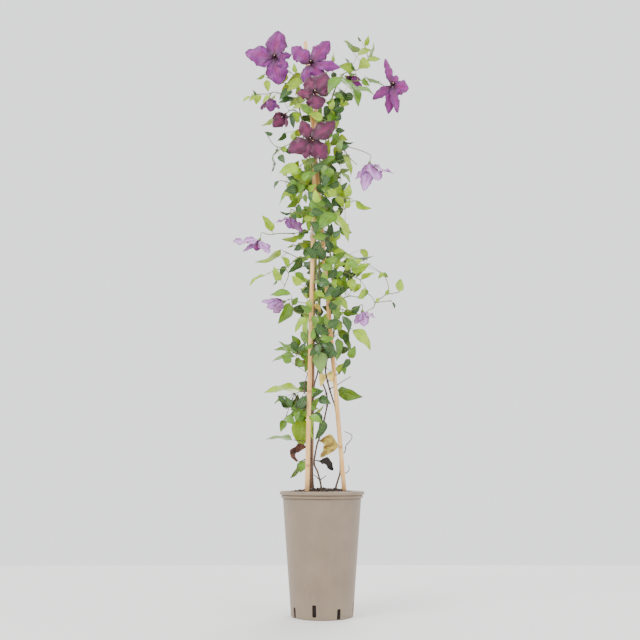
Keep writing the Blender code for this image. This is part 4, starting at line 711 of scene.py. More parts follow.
@dataclass
class Crowd:
    """The places already taken on the plant, as points with a radius each."""

    points: np.ndarray = field(default_factory=lambda: np.empty((0, 3)))
    radii: np.ndarray = field(default_factory=lambda: np.empty(0))
    reach: float = 0.02

    def add(self, points: Sequence[Vector], radius: float) -> None:
        """Take up places, each with that radius."""
        self.points = np.vstack((self.points, np.array(points)))
        self.radii = np.append(self.radii, np.full(len(points), radius))

    def room(self, points: np.ndarray, root: Vector, free_radius: float) -> float:
        """Find the smallest gap between some points and the crowd.

        Args:
            points: The points of what seeks room.
            root: Where it springs from.
            free_radius: How close to its root it may touch.

        Returns:
            The gap.
        """
        low = points.min(axis=0) - self.reach
        high = points.max(axis=0) + self.reach
        near = np.all((self.points > low) & (self.points < high), axis=1)
        near &= np.linalg.norm(self.points - np.array(root), axis=1) > free_radius
        if not near.any():
            return 1.0
        gaps = np.linalg.norm(points[:, None] - self.points[near][None], axis=2)
        gaps -= self.radii[near]
        gaps = gaps[np.linalg.norm(points - np.array(root), axis=1) > free_radius]
        return gaps.min() if gaps.size else 1.0


@dataclass(frozen=True)
class BambooCane:
    """One thin bamboo cane with its joints and its hollow cut top."""

    plan: Cane
    first_joint: float
    radius: float = 0.004
    top_radius: float = 0.0038
    hollow_radius: float = 0.0021
    hollow_depth: float = 0.012
    buried: float = 0.100
    joint_spacing: float = 0.130
    joint_swell: float = 1.08
    joint_groove: float = 0.97
    sides: int = 20

    def ends(self) -> tuple[Vector, Vector]:
        """Return the places where the cane meets the soil and where it ends above."""
        return VIEW.place(*self.plan.foot), VIEW.place(*self.plan.tip)

    def build(self, material: bpy.types.Material) -> None:
        """Build the cane and dress it.

        Args:
            material: The bamboo finish.
        """
        foot, tip = self.ends()
        along = (tip - foot).normalized()
        start = foot - along * self.buried
        length = (tip - start).length
        outline = [(0.0, 0.0), (self.radius, 0.0)]
        joint = self.first_joint
        while joint < length - 0.02:
            taper = self.radius + (self.top_radius - self.radius) * joint / length
            for shift, share in ((-0.0060, 1), (-0.0018, 1.03), (-0.0006, self.joint_swell),
                                 (0.0002, self.joint_groove), (0.0010, 1.05), (0.0045, 1)):
                outline.append((taper * share, joint + shift))
            joint += self.joint_spacing
        outline += [(self.top_radius, length - 0.0006), (self.top_radius - 0.0004, length),
                    (self.hollow_radius, length), (self.hollow_radius, length - self.hollow_depth),
                    (0.0, length - self.hollow_depth)]
        bm = turned(outline, self.sides)
        climb = bm.verts.layers.float.new("climb")
        joints = bm.verts.layers.float.new("joint")
        for vert in bm.verts:
            vert[climb] = vert.co.z
            gap = (vert.co.z - self.first_joint + self.joint_spacing / 2) % self.joint_spacing
            vert[joints] = math.exp(-((gap - self.joint_spacing / 2) / 0.006) ** 2)
        turn = UP.rotation_difference(along).to_matrix().to_4x4()
        bmesh.ops.transform(bm, matrix=Matrix.Translation(start) @ turn, verts=bm.verts)
        publish(bm, self.plan.name + "_bamboo", material, [self.plan.name])


def turned(outline: Sequence[tuple[float, float]], sides: int) -> bmesh.types.BMesh:
    """Sweep an outline about the Z axis.

    Args:
        outline: Points of the outline as radius and height, which starts and ends at the axis.
        sides: The number of steps round the axis.

    Returns:
        The closed shape.
    """
    bm = bmesh.new()
    verts = [bm.verts.new((radius, 0, height)) for radius, height in outline]
    edges = [bm.edges.new(pair) for pair in zip(verts, verts[1:])]
    bmesh.ops.spin(bm, geom=verts + edges, cent=(0, 0, 0), axis=(0, 0, 1), angle=math.tau,
                   steps=sides, use_merge=True)
    bmesh.ops.remove_doubles(bm, verts=bm.verts, dist=1e-6)
    return bm


def publish(bm: bmesh.types.BMesh, name: str, material: bpy.types.Material,
            nodes: Sequence[str], sharp_degrees: float = 40.0) -> bpy.types.Object:
    """Turn a bmesh into a piece of the plant that rides on its body.

    Args:
        bm: The closed shape, which is freed.
        name: The piece's name.
        material: Its finish.
        nodes: The solid nodes that it stands for.
        sharp_degrees: Edges that turn by more than this are drawn sharp.

    Returns:
        The piece.
    """
    bmesh.ops.recalc_face_normals(bm, faces=bm.faces)
    mesh = bpy.data.meshes.new(name)
    bm.to_mesh(mesh)
    bm.free()
    mesh.shade_smooth()
    mesh.set_sharp_from_angle(angle=math.radians(sharp_degrees))
    mesh.materials.append(material)
    piece = bpy.data.objects.new(name, mesh)
    bpy.context.scene.collection.objects.link(piece)
    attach(piece, BODY)
    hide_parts(*nodes)
    LOG.info("%s: %d faces", name, len(mesh.polygons))
    return piece


class Strands:
    """Round strands, gathered as one curve and then turned into a mesh."""

    def __init__(self, rounding: int) -> None:
        """Start with no strand.

        Args:
            rounding: Each strand gets four sides and two more for each step of this.
        """
        self.curve = bpy.data.curves.new("strands", "CURVE")
        self.curve.dimensions = "3D"
        self.curve.bevel_depth = 1.0
        self.curve.bevel_resolution = rounding
        self.curve.use_fill_caps = True

    def add(self, path: Sequence[Vector], radii: Sequence[float], closed: bool = False) -> None:
        """Add one strand.

        Args:
            path: The points of its centre line.
            radii: Its radius at each of them.
            closed: Whether it runs back into its start.
        """
        spline = self.curve.splines.new("POLY")
        spline.points.add(len(path) - 1)
        spline.use_cyclic_u = closed
        for point, place, radius in zip(spline.points, path, radii):
            point.co = (*place, 1)
            point.radius = radius

    def shape(self) -> bmesh.types.BMesh:
        """Return the strands as a bmesh, and remove the curve."""
        holder = bpy.data.objects.new("strands", self.curve)
        bpy.context.scene.collection.objects.link(holder)
        depsgraph = bpy.context.evaluated_depsgraph_get()
        mesh = bpy.data.meshes.new_from_object(holder.evaluated_get(depsgraph))
        bm = bmesh.new()
        bm.from_mesh(mesh)
        bpy.data.objects.remove(holder)
        bpy.data.curves.remove(self.curve)
        bpy.data.meshes.remove(mesh)
        return bm


class BladePattern:
    """A flat closed blade that is copied and bent into each leaflet and sepal.

    Its x runs from -1 to 1 across the blade, its y from 0 to 1 along it, and its z is 0 on
    the face and -1 on the back.
    """

    def __init__(self, columns: int, rows: int) -> None:
        """Make the pattern.

        Args:
            columns: The number of cells across.
            rows: The number of cells along.
        """
        bm = bmesh.new()
        bmesh.ops.create_grid(bm, x_segments=columns, y_segments=rows, size=1)
        bmesh.ops.scale(bm, vec=(1, 0.5, 1), verts=bm.verts)
        bmesh.ops.translate(bm, vec=(0, 0.5, 0), verts=bm.verts)
        grown = bmesh.ops.extrude_face_region(bm, geom=bm.faces[:], use_keep_orig=True)
        back = [item for item in grown["geom"] if isinstance(item, bmesh.types.BMVert)]
        bmesh.ops.translate(bm, vec=(0, 0, -1), verts=back)
        self.lay_uv(bm)
        bm.verts.layers.float_color.new("tint")
        bm.verts.layers.float.new("under")
        bm.verts.layers.float.new("blemish")
        self.mesh = bpy.data.meshes.new("pattern")
        bm.to_mesh(self.mesh)
        bm.free()

    @staticmethod
    def lay_uv(bm: bmesh.types.BMesh) -> None:
        """Lay the UV map, across the blade and along it."""
        layer = bm.loops.layers.uv.new("blade")
        for face in bm.faces:
            for loop in face.loops:
                loop[layer].uv = ((loop.vert.co.x + 1) / 2, loop.vert.co.y)

    def copy_into(self, bm: bmesh.types.BMesh, surface: Callable[[float, float], Vector],
                  normal: Callable[[float, float], Vector], thickness: float, tint: Colour,
                  face_is_under: bool, blemish: Callable[[Vector], float]) -> None:
        """Copy the pattern and bend it.

        Args:
            bm: What the copy is added to.
            surface: The place of the blade's face for a u from -1 to 1 and a t from 0 to 1.
            normal: The way that the face looks there.
            thickness: The blade's thickness.
            tint: The colour of its upper side.
            face_is_under: Whether the face is the leaf's or sepal's underside.
            blemish: How brown the blade is at a place, from 0 to 1.
        """
        start = len(bm.verts)
        bm.from_mesh(self.mesh)
        bm.verts.ensure_lookup_table()
        tints = bm.verts.layers.float_color["tint"]
        unders = bm.verts.layers.float["under"]
        blemishes = bm.verts.layers.float["blemish"]
        for vert in bm.verts[start:]:
            u, t, layer = vert.co
            vert.co = surface(u, t) + normal(u, t) * thickness * layer
            vert[tints] = tint
            vert[unders] = float((layer < -0.5) != face_is_under)
            vert[blemishes] = blemish(vert.co)


def srgb(red: float, green: float, blue: float) -> Colour:
    """Turn a colour as a screen shows it, 0 to 255, into the renderer's own numbers."""
    shares = [value / 255 for value in (red, green, blue)]
    linear = [share / 12.92 if share <= 0.04045 else ((share + 0.055) / 1.055) ** 2.4
              for share in shares]
    return (*linear, 1.0)


LEAF_COLOURS = {
    LeafTone.YOUNG: srgb(140, 176, 8),
    LeafTone.LEAF: srgb(88, 134, 10),
    LeafTone.DEEP: srgb(30, 74, 16),
    LeafTone.UNDERSIDE: srgb(96, 132, 40),
    LeafTone.FADING: srgb(206, 180, 84),
}
BLOOM_COLOURS = {
    BloomTone.VIOLET: srgb(112, 16, 108),
    BloomTone.WINE: srgb(82, 4, 52),
    BloomTone.LILAC: srgb(126, 26, 122),
}


# How pale the backs of a bloom's sepals are, from 0 to 1
BACK_PALENESS = {BloomTone.VIOLET: 0.25, BloomTone.WINE: 0.15, BloomTone.LILAC: 0.95}


class Value:
    """A shader socket's value, which takes part in Python arithmetic."""

    def __init__(self, shader: "Shader", socket: bpy.types.NodeSocket) -> None:
        """Wrap an output socket of a shader's node."""
        self.shader = shader
        self.socket = socket

    def math(self, operation: str, *others: Union["Value", float]) -> "Value":
        """Return the result of a Math node on this value and others."""
        inputs = dict(enumerate((self, *others)))
        return self.shader.node("ShaderNodeMath", {"operation": operation}, inputs)

    def reversed_math(self, operation: str, other: float) -> "Value":
        """Return the result of a Math node on a number and this value."""
        inputs = {0: other, 1: self}
        return self.shader.node("ShaderNodeMath", {"operation": operation}, inputs)

    def __add__(self, other: Union["Value", float]) -> "Value":
        """Return the sum."""
        return self.math("ADD", other)

    def __radd__(self, other: float) -> "Value":
        """Return the sum."""
        return self.math("ADD", other)

    def __sub__(self, other: Union["Value", float]) -> "Value":
        """Return the difference."""
        return self.math("SUBTRACT", other)

    def __rsub__(self, other: float) -> "Value":
        """Return the number less this value."""
        return self.reversed_math("SUBTRACT", other)

    def __mul__(self, other: Union["Value", float]) -> "Value":
        """Return the product."""
        return self.math("MULTIPLY", other)

    def __rmul__(self, other: float) -> "Value":
        """Return the product."""
        return self.math("MULTIPLY", other)

    def __truediv__(self, other: Union["Value", float]) -> "Value":
        """Return the quotient."""
        return self.math("DIVIDE", other)

    def __rtruediv__(self, other: float) -> "Value":
        """Return the number divided by this value."""
        return self.reversed_math("DIVIDE", other)

    def __abs__(self) -> "Value":
        """Return the size without its sign."""
        return self.math("ABSOLUTE")

    def fraction(self) -> "Value":
        """Return what is left past the whole number."""
        return self.math("FRACT")

    def larger(self, other: Union["Value", float]) -> "Value":
        """Return the larger of two values."""
        return self.math("MAXIMUM", other)

    def rise(self, low: float, high: float) -> "Value":
        """Return a smooth step, 0 up to LOW and 1 from HIGH."""
        return self.shader.node("ShaderNodeMapRange", {"interpolation_type": "SMOOTHSTEP"},
                                {"Value": self, "From Min": low, "From Max": high})

    def line(self, middle: float, width: float) -> "Value":
        """Return 1 where this value is at MIDDLE, falling to 0 at WIDTH from it."""
        return 1.0 - abs(self - middle).rise(0.0, width)


class Shader:
    """A Principled material that is being made."""

    def __init__(self, name: str) -> None:
        """Start a material of that name."""
        self.made = bpy.data.materials.new(name)
        self.made.use_nodes = True
        self.tree = self.made.node_tree
        self.surface = self.tree.nodes["Principled BSDF"]

    def node(self, kind: str, settings: dict, inputs: dict, output: Union[int, str] = 0) -> Value:
        """Add a node.

        Args:
            kind: The node's type.
            settings: Its settings, which are made first.
            inputs: The value or the link of each of its sockets that isn't left alone.
            output: Which of its outputs is wanted.

        Returns:
            That output.
        """
        made = self.tree.nodes.new(kind)
        for name, setting in settings.items():
            setattr(made, name, setting)
        for socket, value in inputs.items():
            self.feed(made.inputs[socket], value)
        return Value(self, made.outputs[output])

    def feed(self, socket: bpy.types.NodeSocket, value: Union[Value, float, Sequence]) -> None:
        """Link a socket to a value, or give it a number, a vector or a colour."""
        if isinstance(value, Value):
            self.tree.links.new(value.socket, socket)
        else:
            socket.default_value = value

    def place(self) -> Value:
        """Return the place on the object."""
        return self.node("ShaderNodeTexCoord", {}, {}, "Object")

    def uv(self, name: str) -> Value:
        """Return a UV map's place."""
        return self.node("ShaderNodeUVMap", {"uv_map": name}, {})

    def axis(self, vector: Value, name: str) -> Value:
        """Return one of a vector's three numbers, X, Y or Z."""
        return self.node("ShaderNodeSeparateXYZ", {}, {0: vector}, name)

    def attribute(self, name: str, output: str = "Fac") -> Value:
        """Return one of the mesh's own attributes, as a number or as a Color."""
        return self.node("ShaderNodeAttribute", {"attribute_name": name}, {}, output)

    def stretched(self, vector: Value, shares: Sequence[float]) -> Value:
        """Return a vector with each of its numbers multiplied by its share."""
        return self.node("ShaderNodeVectorMath", {"operation": "MULTIPLY"}, {0: vector, 1: shares})

    def grain(self, vector: Value, scale: float, detail: float = 2.0) -> Value:
        """Return a cloudy noise of a scale, from 0 to 1."""
        return self.node("ShaderNodeTexNoise", {},
                         {"Vector": vector, "Scale": scale, "Detail": detail})

    def cells(self, vector: Value, scale: float) -> Value:
        """Return the distance to the nearest of many scattered points."""
        return self.node("ShaderNodeTexVoronoi", {}, {"Vector": vector, "Scale": scale})

    def mix(self, share: Union[Value, float], first: Union[Value, Colour],
            second: Union[Value, Colour], mode: str = "MIX") -> Value:
        """Blend two colours.

        Args:
            share: How much of the second there is.
            first: The first colour.
            second: The second colour.
            mode: The way that they are blended.

        Returns:
            The blended colour.
        """
        return self.node("ShaderNodeMix", {"data_type": "RGBA", "blend_type": mode},
                         {0: share, 6: first, 7: second}, 2)

    def tinted(self, colour: Union[Value, Colour], share: Value, dark: float,
               light: float) -> Value:
        """Return a colour made from DARK to LIGHT times as bright as a share rises."""
        shade = self.mix(share, (dark, dark, dark, 1), (light, light, light, 1))
        return self.mix(1.0, colour, shade, "MULTIPLY")

    def bump(self, height: Value, distance: float, strength: float = 1.0) -> Value:
        """Return the normal of a surface that a height in metres times DISTANCE raises."""
        return self.node("ShaderNodeBump", {},
                         {"Height": height, "Distance": distance, "Strength": strength})

    def finish(self, colour: Union[Value, Colour], roughness: Union[Value, float],
               normal: Optional[Value] = None, **constants: float) -> bpy.types.Material:
        """Set the surface's sockets.

        Args:
            colour: The base colour.
            roughness: The roughness.
            normal: The bumped normal, if any.
            **constants: Other sockets by name, with _ for each space.

        Returns:
            The material.
        """
        self.feed(self.surface.inputs["Base Color"], colour)
        self.feed(self.surface.inputs["Roughness"], roughness)
        if normal:
            self.feed(self.surface.inputs["Normal"], normal)
        for name, value in constants.items():
            self.surface.inputs[name.replace("_", " ")].default_value = value
        return self.made


@dataclass(frozen=True)
class LeafFinish:
    """A fresh satin leaf with its veins, paler and duller beneath."""

    vein: Colour = srgb(176, 204, 84)
    underside: Colour = srgb(136, 170, 104)
    brown: Colour = srgb(92, 60, 34)
    slants: float = 9.0
    slant_rise: float = 2.4
    roughness: float = 0.34
    vein_depth: float = 0.25 * MM
    glow: float = 0.22

    def material(self) -> bpy.types.Material:
        """Return the leaf material."""
        shader = Shader("fresh leaf")
        place = shader.place()
        lay = shader.uv("blade")
        side = abs(shader.axis(lay, "X") * 2.0 - 1.0)
        along = shader.axis(lay, "Y")
        under = shader.attribute("under")
        mottle = shader.grain(place, 85.0, 3.0)
        skin = shader.grain(place, 1500.0)
        midrib = side.line(0.0, 0.07)
        side_vein = side.line(0.46, 0.05) * 0.6
        slant = (along * self.slants - side * self.slant_rise).fraction().line(0.5, 0.10) * 0.3
        veins = midrib.larger(side_vein).larger(slant)
        colour = shader.tinted(shader.attribute("tint", "Color"), mottle.rise(0.3, 0.7), 0.76, 1.2)
        colour = shader.tinted(colour, skin, 0.92, 1.08)
        colour = shader.mix(under * 0.35, colour, self.underside)
        colour = shader.mix(veins * 0.42, colour, self.vein)
        colour = shader.tinted(colour, side.rise(0.75, 1.0), 1.0, 0.84)
        colour = shader.mix(shader.attribute("blemish").rise(0.3, 0.7), colour, self.brown)
        roughness = mottle * 0.16 + under * 0.2 + (self.roughness - 0.08)
        normal = shader.bump(skin * 0.25 - veins, self.vein_depth)
        return shader.finish(colour, roughness, normal, Subsurface_Weight=self.glow,
                             Subsurface_Scale=1.5 * MM)


@dataclass(frozen=True)
class SepalFinish:
    """A velvety sepal with parallel veins, paler behind, with a redder bar down its middle."""

    bar: Colour = srgb(132, 8, 84)
    back: Colour = srgb(206, 158, 222)
    back_bar: Colour = srgb(168, 70, 160)
    streaks: float = 26.0
    roughness: float = 0.52
    vein_depth: float = 0.3 * MM
    velvet: float = 0.35
    glow: float = 0.15

    def material(self) -> bpy.types.Material:
        """Return the sepal material."""
        shader = Shader("velvety sepal")
        lay = shader.uv("blade")
        side = abs(shader.axis(lay, "X") * 2.0 - 1.0)
        along = shader.axis(lay, "Y")
        under = shader.attribute("under")
        streak = shader.grain(shader.stretched(lay, (self.streaks, 2.2, 1.0)), 1.0, 3.0)
        cloud = shader.grain(shader.place(), 120.0, 2.0)
        ribs = side.line(0.0, 0.06).larger(side.line(0.17, 0.05))
        bar = (1.0 - side.rise(0.08, 0.42)) * (1.0 - along.rise(0.45, 0.95))
        face = shader.tinted(shader.attribute("tint", "Color"), streak.rise(0.35, 0.65), 0.5, 1.45)
        face = shader.tinted(face, cloud.rise(0.3, 0.7), 0.78, 1.22)
        face = shader.mix(bar * 0.45, face, self.bar)
        # Darker towards the margins, then much darker towards the sepal's foot: that is painted
        # shade where the sepals meet under the boss of stamens.
        face = shader.tinted(face, side.rise(0.55, 1.0), 1.0, 0.75)
        face = shader.tinted(face, along.rise(0.05, 0.38), 0.4, 1.0)
        pale = shader.attribute("tint", "Alpha") * (1.0 - side.rise(0.35, 1.0) * 0.8)
        back = shader.mix(pale, shader.attribute("tint", "Color"), self.back)
        back = shader.tinted(back, streak.rise(0.3, 0.7), 0.82, 1.12)
        back = shader.mix(bar.larger(ribs) * pale * 0.6, back, self.back_bar)
        colour = shader.mix(under, face, back)
        normal = shader.bump(streak * 0.6 - ribs * 0.8, self.vein_depth)
        return shader.finish(colour, streak * 0.2 + (self.roughness - 0.1), normal,
                             Sheen_Weight=self.velvet, Sheen_Roughness=0.4,
                             Subsurface_Weight=self.glow, Subsurface_Scale=1.5 * MM)


@dataclass(frozen=True)
class StamenFinish:
    """Dark red filaments with darker anthers round a pale pistil, on a green receptacle."""

    anther: Colour = srgb(44, 6, 26)
    filament: Colour = srgb(104, 22, 60)
    pistil: Colour = srgb(228, 190, 176)
    receptacle: Colour = srgb(104, 132, 52)

    def material(self) -> bpy.types.Material:
        """Return the stamen material."""
        shader = Shader("stamen")
        reach = shader.attribute("reach")
        pollen = shader.grain(shader.place(), 1800.0)
        colour = shader.mix(reach.rise(-0.1, 0.05), self.receptacle, self.filament)
        colour = shader.mix(reach.rise(0.42, 0.62), colour, self.anther)
        colour = shader.tinted(colour, pollen, 0.75, 1.25)
        colour = shader.mix(reach.rise(1.10, 1.14), colour, self.pistil)
        return shader.finish(colour, 0.6, shader.bump(pollen, 0.15 * MM))


@dataclass(frozen=True)
class GreenStemFinish:
    """A thin climbing stem: green above, brown and ridged towards its foot."""

    green: Colour = srgb(118, 138, 62)
    blush: Colour = srgb(112, 66, 54)
    brown: Colour = srgb(84, 58, 44)
    brown_height: float = 0.40
    green_height: float = 0.56

    def material(self) -> bpy.types.Material:
        """Return the stem material."""
        shader = Shader("climbing stem")
        place = shader.place()
        height = shader.axis(place, "Z").rise(self.brown_height, self.green_height)
        patch = shader.grain(place, 55.0, 3.0)
        ridge = shader.grain(shader.stretched(place, (1.0, 1.0, 0.12)), 1600.0)
        fresh = shader.mix(patch.rise(0.45, 0.7) * 0.65, self.green, self.blush)
        colour = shader.mix(height, self.brown, fresh)
        colour = shader.tinted(colour, ridge, 0.72, 1.24)
        return shader.finish(colour, 0.5, shader.bump(ridge, 0.25 * MM), Subsurface_Weight=0.08,
                             Subsurface_Scale=1.0 * MM)


@dataclass(frozen=True)
class BarkFinish:
    """The thin fibrous bark of an old climbing stem."""

    dark: Colour = srgb(58, 40, 32)
    strip: Colour = srgb(142, 112, 84)

    def material(self) -> bpy.types.Material:
        """Return the bark material."""
        shader = Shader("fibrous bark")
        place = shader.place()
        fibre = shader.grain(shader.stretched(place, (1.0, 1.0, 0.08)), 1100.0, 4.0)
        patch = shader.grain(place, 130.0, 2.0)
        colour = shader.mix(fibre.rise(0.42, 0.72) * 0.75, self.dark, self.strip)
        colour = shader.tinted(colour, patch, 0.7, 1.3)
        return shader.finish(colour, 0.78, shader.bump(fibre, 0.7 * MM))


@dataclass(frozen=True)
class BambooFinish:
    """Pale dry bamboo with long fibres, darker rings at its joints and weathered patches."""

    straw: Colour = srgb(216, 160, 88)
    light: Colour = srgb(236, 196, 122)
    tan: Colour = srgb(174, 108, 54)
    ring: Colour = srgb(128, 78, 46)
    foot: Colour = srgb(120, 74, 46)
    name: str = "dry bamboo"
    damp_height: float = 0.235

    def material(self) -> bpy.types.Material:
        """Return the bamboo material."""
        shader = Shader(self.name)
        place = shader.place()
        fibre = shader.grain(shader.stretched(place, (1.0, 1.0, 0.02)), 900.0, 3.0)
        patch = shader.grain(shader.stretched(place, (1.0, 1.0, 0.25)), 60.0, 3.0)
        speck = shader.grain(place, 700.0, 2.0).rise(0.66, 0.74)
        colour = shader.mix(patch.rise(0.35, 0.7), self.straw, self.light)
        colour = shader.mix(fibre.rise(0.48, 0.75) * 0.45, colour, self.tan)
        joint = shader.attribute("joint")
        colour = shader.mix(joint.rise(0.2, 1.0) * 0.4, colour, self.tan)
        colour = shader.mix(joint.rise(0.86, 0.99) * 0.45, colour, self.ring)
        colour = shader.mix(speck * 0.5, colour, self.tan)
        damp = 1.0 - (shader.axis(place, "Z") + patch * 0.02).rise(self.damp_height - 0.02,
                                                                  self.damp_height + 0.015)
        colour = shader.mix(damp * 0.6, colour, self.foot)
        return shader.finish(colour, fibre * 0.25 + 0.28, shader.bump(fibre, 0.15 * MM),
                             Coat_Weight=0.15, Coat_Roughness=0.3)


@dataclass(frozen=True)
class PotFinish:
    """Matt taupe plastic with a fine moulded grain, scuffs and dust."""

    plastic: Colour = srgb(130, 113, 95)
    dust: Colour = srgb(168, 154, 136)
    scuff: Colour = srgb(112, 101, 88)
    roughness: float = 0.46

    def material(self) -> bpy.types.Material:
        """Return the pot material."""
        shader = Shader("taupe plastic")
        place = shader.place()
        grain = shader.grain(place, 2200.0, 2.0)
        cloud = shader.grain(place, 24.0, 4.0)
        drag = shader.grain(shader.stretched(place, (1.0, 1.0, 0.06)), 420.0, 2.0)
        scratch = shader.grain(shader.stretched(place, (1.0, 1.0, 0.2)), 260.0, 5.0)
        height = shader.axis(place, "Z")
        colour = shader.tinted(self.plastic, cloud.rise(0.3, 0.7), 0.93, 1.07)
        colour = shader.tinted(colour, drag, 0.95, 1.05)
        colour = shader.mix(scratch.rise(0.66, 0.72) * 0.45, colour, self.scuff)
        dust = (1.0 - height.rise(0.0, 0.05)).larger(cloud.rise(0.55, 0.8) * 0.5)
        colour = shader.mix(dust * grain.rise(0.3, 0.7) * 0.4, colour, self.dust)
        roughness = cloud * 0.14 + dust * 0.15 + (self.roughness - 0.07)
        return shader.finish(colour, roughness, shader.bump(grain + scratch * 0.5, 0.12 * MM),
                             Subsurface_Weight=0.0)


@dataclass(frozen=True)
class SoilFinish:
    """Dark crumbly potting mix with paler chips of bark in it."""

    peat: Colour = srgb(40, 27, 21)
    damp: Colour = srgb(20, 14, 12)

    def material(self) -> bpy.types.Material:
        """Return the soil material."""
        shader = Shader("potting mix")
        place = shader.place()
        crumb = shader.cells(place, 520.0)
        cloud = shader.grain(place, 90.0, 4.0)
        fine = shader.grain(place, 1400.0, 3.0)
        colour = shader.mix(cloud.rise(0.35, 0.65), self.damp, self.peat)
        colour = shader.mix(shader.attribute("chip"), colour, shader.attribute("tint", "Color"))
        colour = shader.tinted(colour, fine, 0.6, 1.4)
        return shader.finish(colour, 0.92, shader.bump(fine - crumb, 1.2 * MM))


@dataclass(frozen=True)
class CordFinish:
    """Pale twisted cord, a little soiled."""

    pale: Colour = srgb(226, 222, 210)
    soiled: Colour = srgb(176, 166, 144)

    def material(self) -> bpy.types.Material:
        """Return the cord material."""
        shader = Shader("pale cord")
        fuzz = shader.grain(shader.place(), 1500.0, 3.0)
        patch = shader.grain(shader.place(), 140.0)
        colour = shader.mix(patch.rise(0.4, 0.7) * 0.7, self.pale, self.soiled)
        colour = shader.tinted(colour, fuzz, 0.8, 1.15)
        return shader.finish(colour, 0.85, shader.bump(fuzz, 0.3 * MM), Sheen_Weight=0.3)


@dataclass(frozen=True)
class ShrivelledFinish:
    """A dry leaf, wrinkled and dull, with a darker net of veins."""

    name: str
    colour: Colour
    patch: Colour
    vein: Colour

    def material(self) -> bpy.types.Material:
        """Return the dry leaf material."""
        shader = Shader(self.name)
        place = shader.place()
        lay = shader.uv("blade")
        side = abs(shader.axis(lay, "X") * 2.0 - 1.0)
        cloud = shader.grain(place, 130.0, 4.0)
        wrinkle = shader.grain(place, 600.0, 4.0)
        net = 1.0 - shader.cells(place, 420.0).rise(0.0, 0.35)
        veins = side.line(0.0, 0.08).larger(net * 0.5)
        colour = shader.mix(cloud.rise(0.42, 0.62), self.colour, self.patch)
        colour = shader.mix(veins * 0.4, colour, self.vein)
        colour = shader.tinted(colour, wrinkle, 0.65, 1.3)
        return shader.finish(colour, 0.8, shader.bump(wrinkle - veins * 0.3, 0.8 * MM))


@dataclass(frozen=True)
class CordTie:
    """A cord of three twisted strands, knotted round the canes."""

    name: str
    row: float
    radius: float = 0.0012
    gap: float = 0.0005
    arc_steps: int = 3
    strand_radius: float = 0.00062
    turn_pitch: float = 0.0046
    turn_rise: float = 0.0011
    knot_radius: float = 0.0026
    tail_length: float = 0.014

    def path(self) -> Path:
        """Return the closed path of the cord round the canes, as in the solid model."""
        height = VIEW.place(VIEW.frame_pixels / 2, self.row, 0).z
        hubs = []
        for plan in CANES:
            foot, tip = BambooCane(plan, 0).ends()
            hubs.append(foot.lerp(tip, (height - foot.z) / (tip.z - foot.z)))
        middle = sum(hubs, Vector()) / len(hubs)
        hubs.sort(key=lambda hub: math.atan2(hub.y - middle.y, hub.x - middle.x))
        reach = BambooCane.radius + self.radius + self.gap
        path = []
        for before, hub, after in zip(hubs[-1:] + hubs[:-1], hubs, hubs[1:] + hubs[:1]):
            first = math.atan2(hub.y - before.y, hub.x - before.x) - math.pi / 2
            last = math.atan2(after.y - hub.y, after.x - hub.x) - math.pi / 2
            sweep = (last - first) % math.tau
            for step in range(self.arc_steps + 1):
                angle = first + sweep * step / self.arc_steps
                spot = Vector((math.cos(angle), math.sin(angle), 0)) * reach
                path.append(Vector((hub.x, hub.y, height)) + spot)
        return path

    def twist(self, strands: Strands, path: Path, closed: bool) -> None:
        """Lay three strands round a path.

        Args:
            strands: What they are added to.
            path: The cord's centre line, in short steps.
            closed: Whether the cord runs back into its start.
        """
        length = sum((end - start).length for start, end in zip(path, path[1:]))
        turns = max(1, round(length / self.turn_pitch))
        for strand in range(3):
            wound = []
            run = 0.0
            for index, point in enumerate(path):
                ahead = path[min(index + 1, len(path) - 1)] - path[max(index - 1, 0)]
                side = across(UP, ahead.normalized(), Vector((0, 1, 0)))
                angle = math.tau * (run / length * turns + strand / 3)
                wound.append(point + Quaternion(ahead.normalized(), angle) @ side
                             * self.strand_radius)
                if index + 1 < len(path):
                    run += (path[index + 1] - point).length
            strands.add(wound[:-1] if closed else wound, [self.strand_radius] * len(wound), closed)

    def build(self, material: bpy.types.Material) -> None:
        """Build the two turns, the knot and its tails, and dress them.

        Args:
            material: The cord finish.
        """
        ring = self.path()
        front = min(range(len(ring)), key=lambda index: ring[index].y)
        ring = ring[front:] + ring[:front]
        fine = chord_points([*ring, ring[0]], 0.0006)
        strands = Strands(1)
        for rise in (-self.turn_rise, self.turn_rise):
            self.twist(strands, [point + UP * rise for point in fine], True)
        knot = ring[0] + Vector((0, -0.4 * self.knot_radius, 0))
        loop = [knot + Vector((math.sin(2 * angle) * 0.9, math.cos(angle) * 0.35 - 0.3,
                               math.sin(angle) * 0.8)) * self.knot_radius
                for angle in np.linspace(0, math.tau, 25)]
        self.twist(strands, loop, False)
        for way in (-1, 1):
            tail = [knot, knot + Vector((way * 0.003, -0.0015, -0.002)),
                    knot + Vector((way * 0.005, -0.001, -0.6 * self.tail_length)),
                    knot + Vector((way * 0.004, 0.0, -self.tail_length))]
            self.twist(strands, smooth_path(tail, 0.0007), False)
        publish(strands.shape(), self.name + "_cord", material, [self.name])


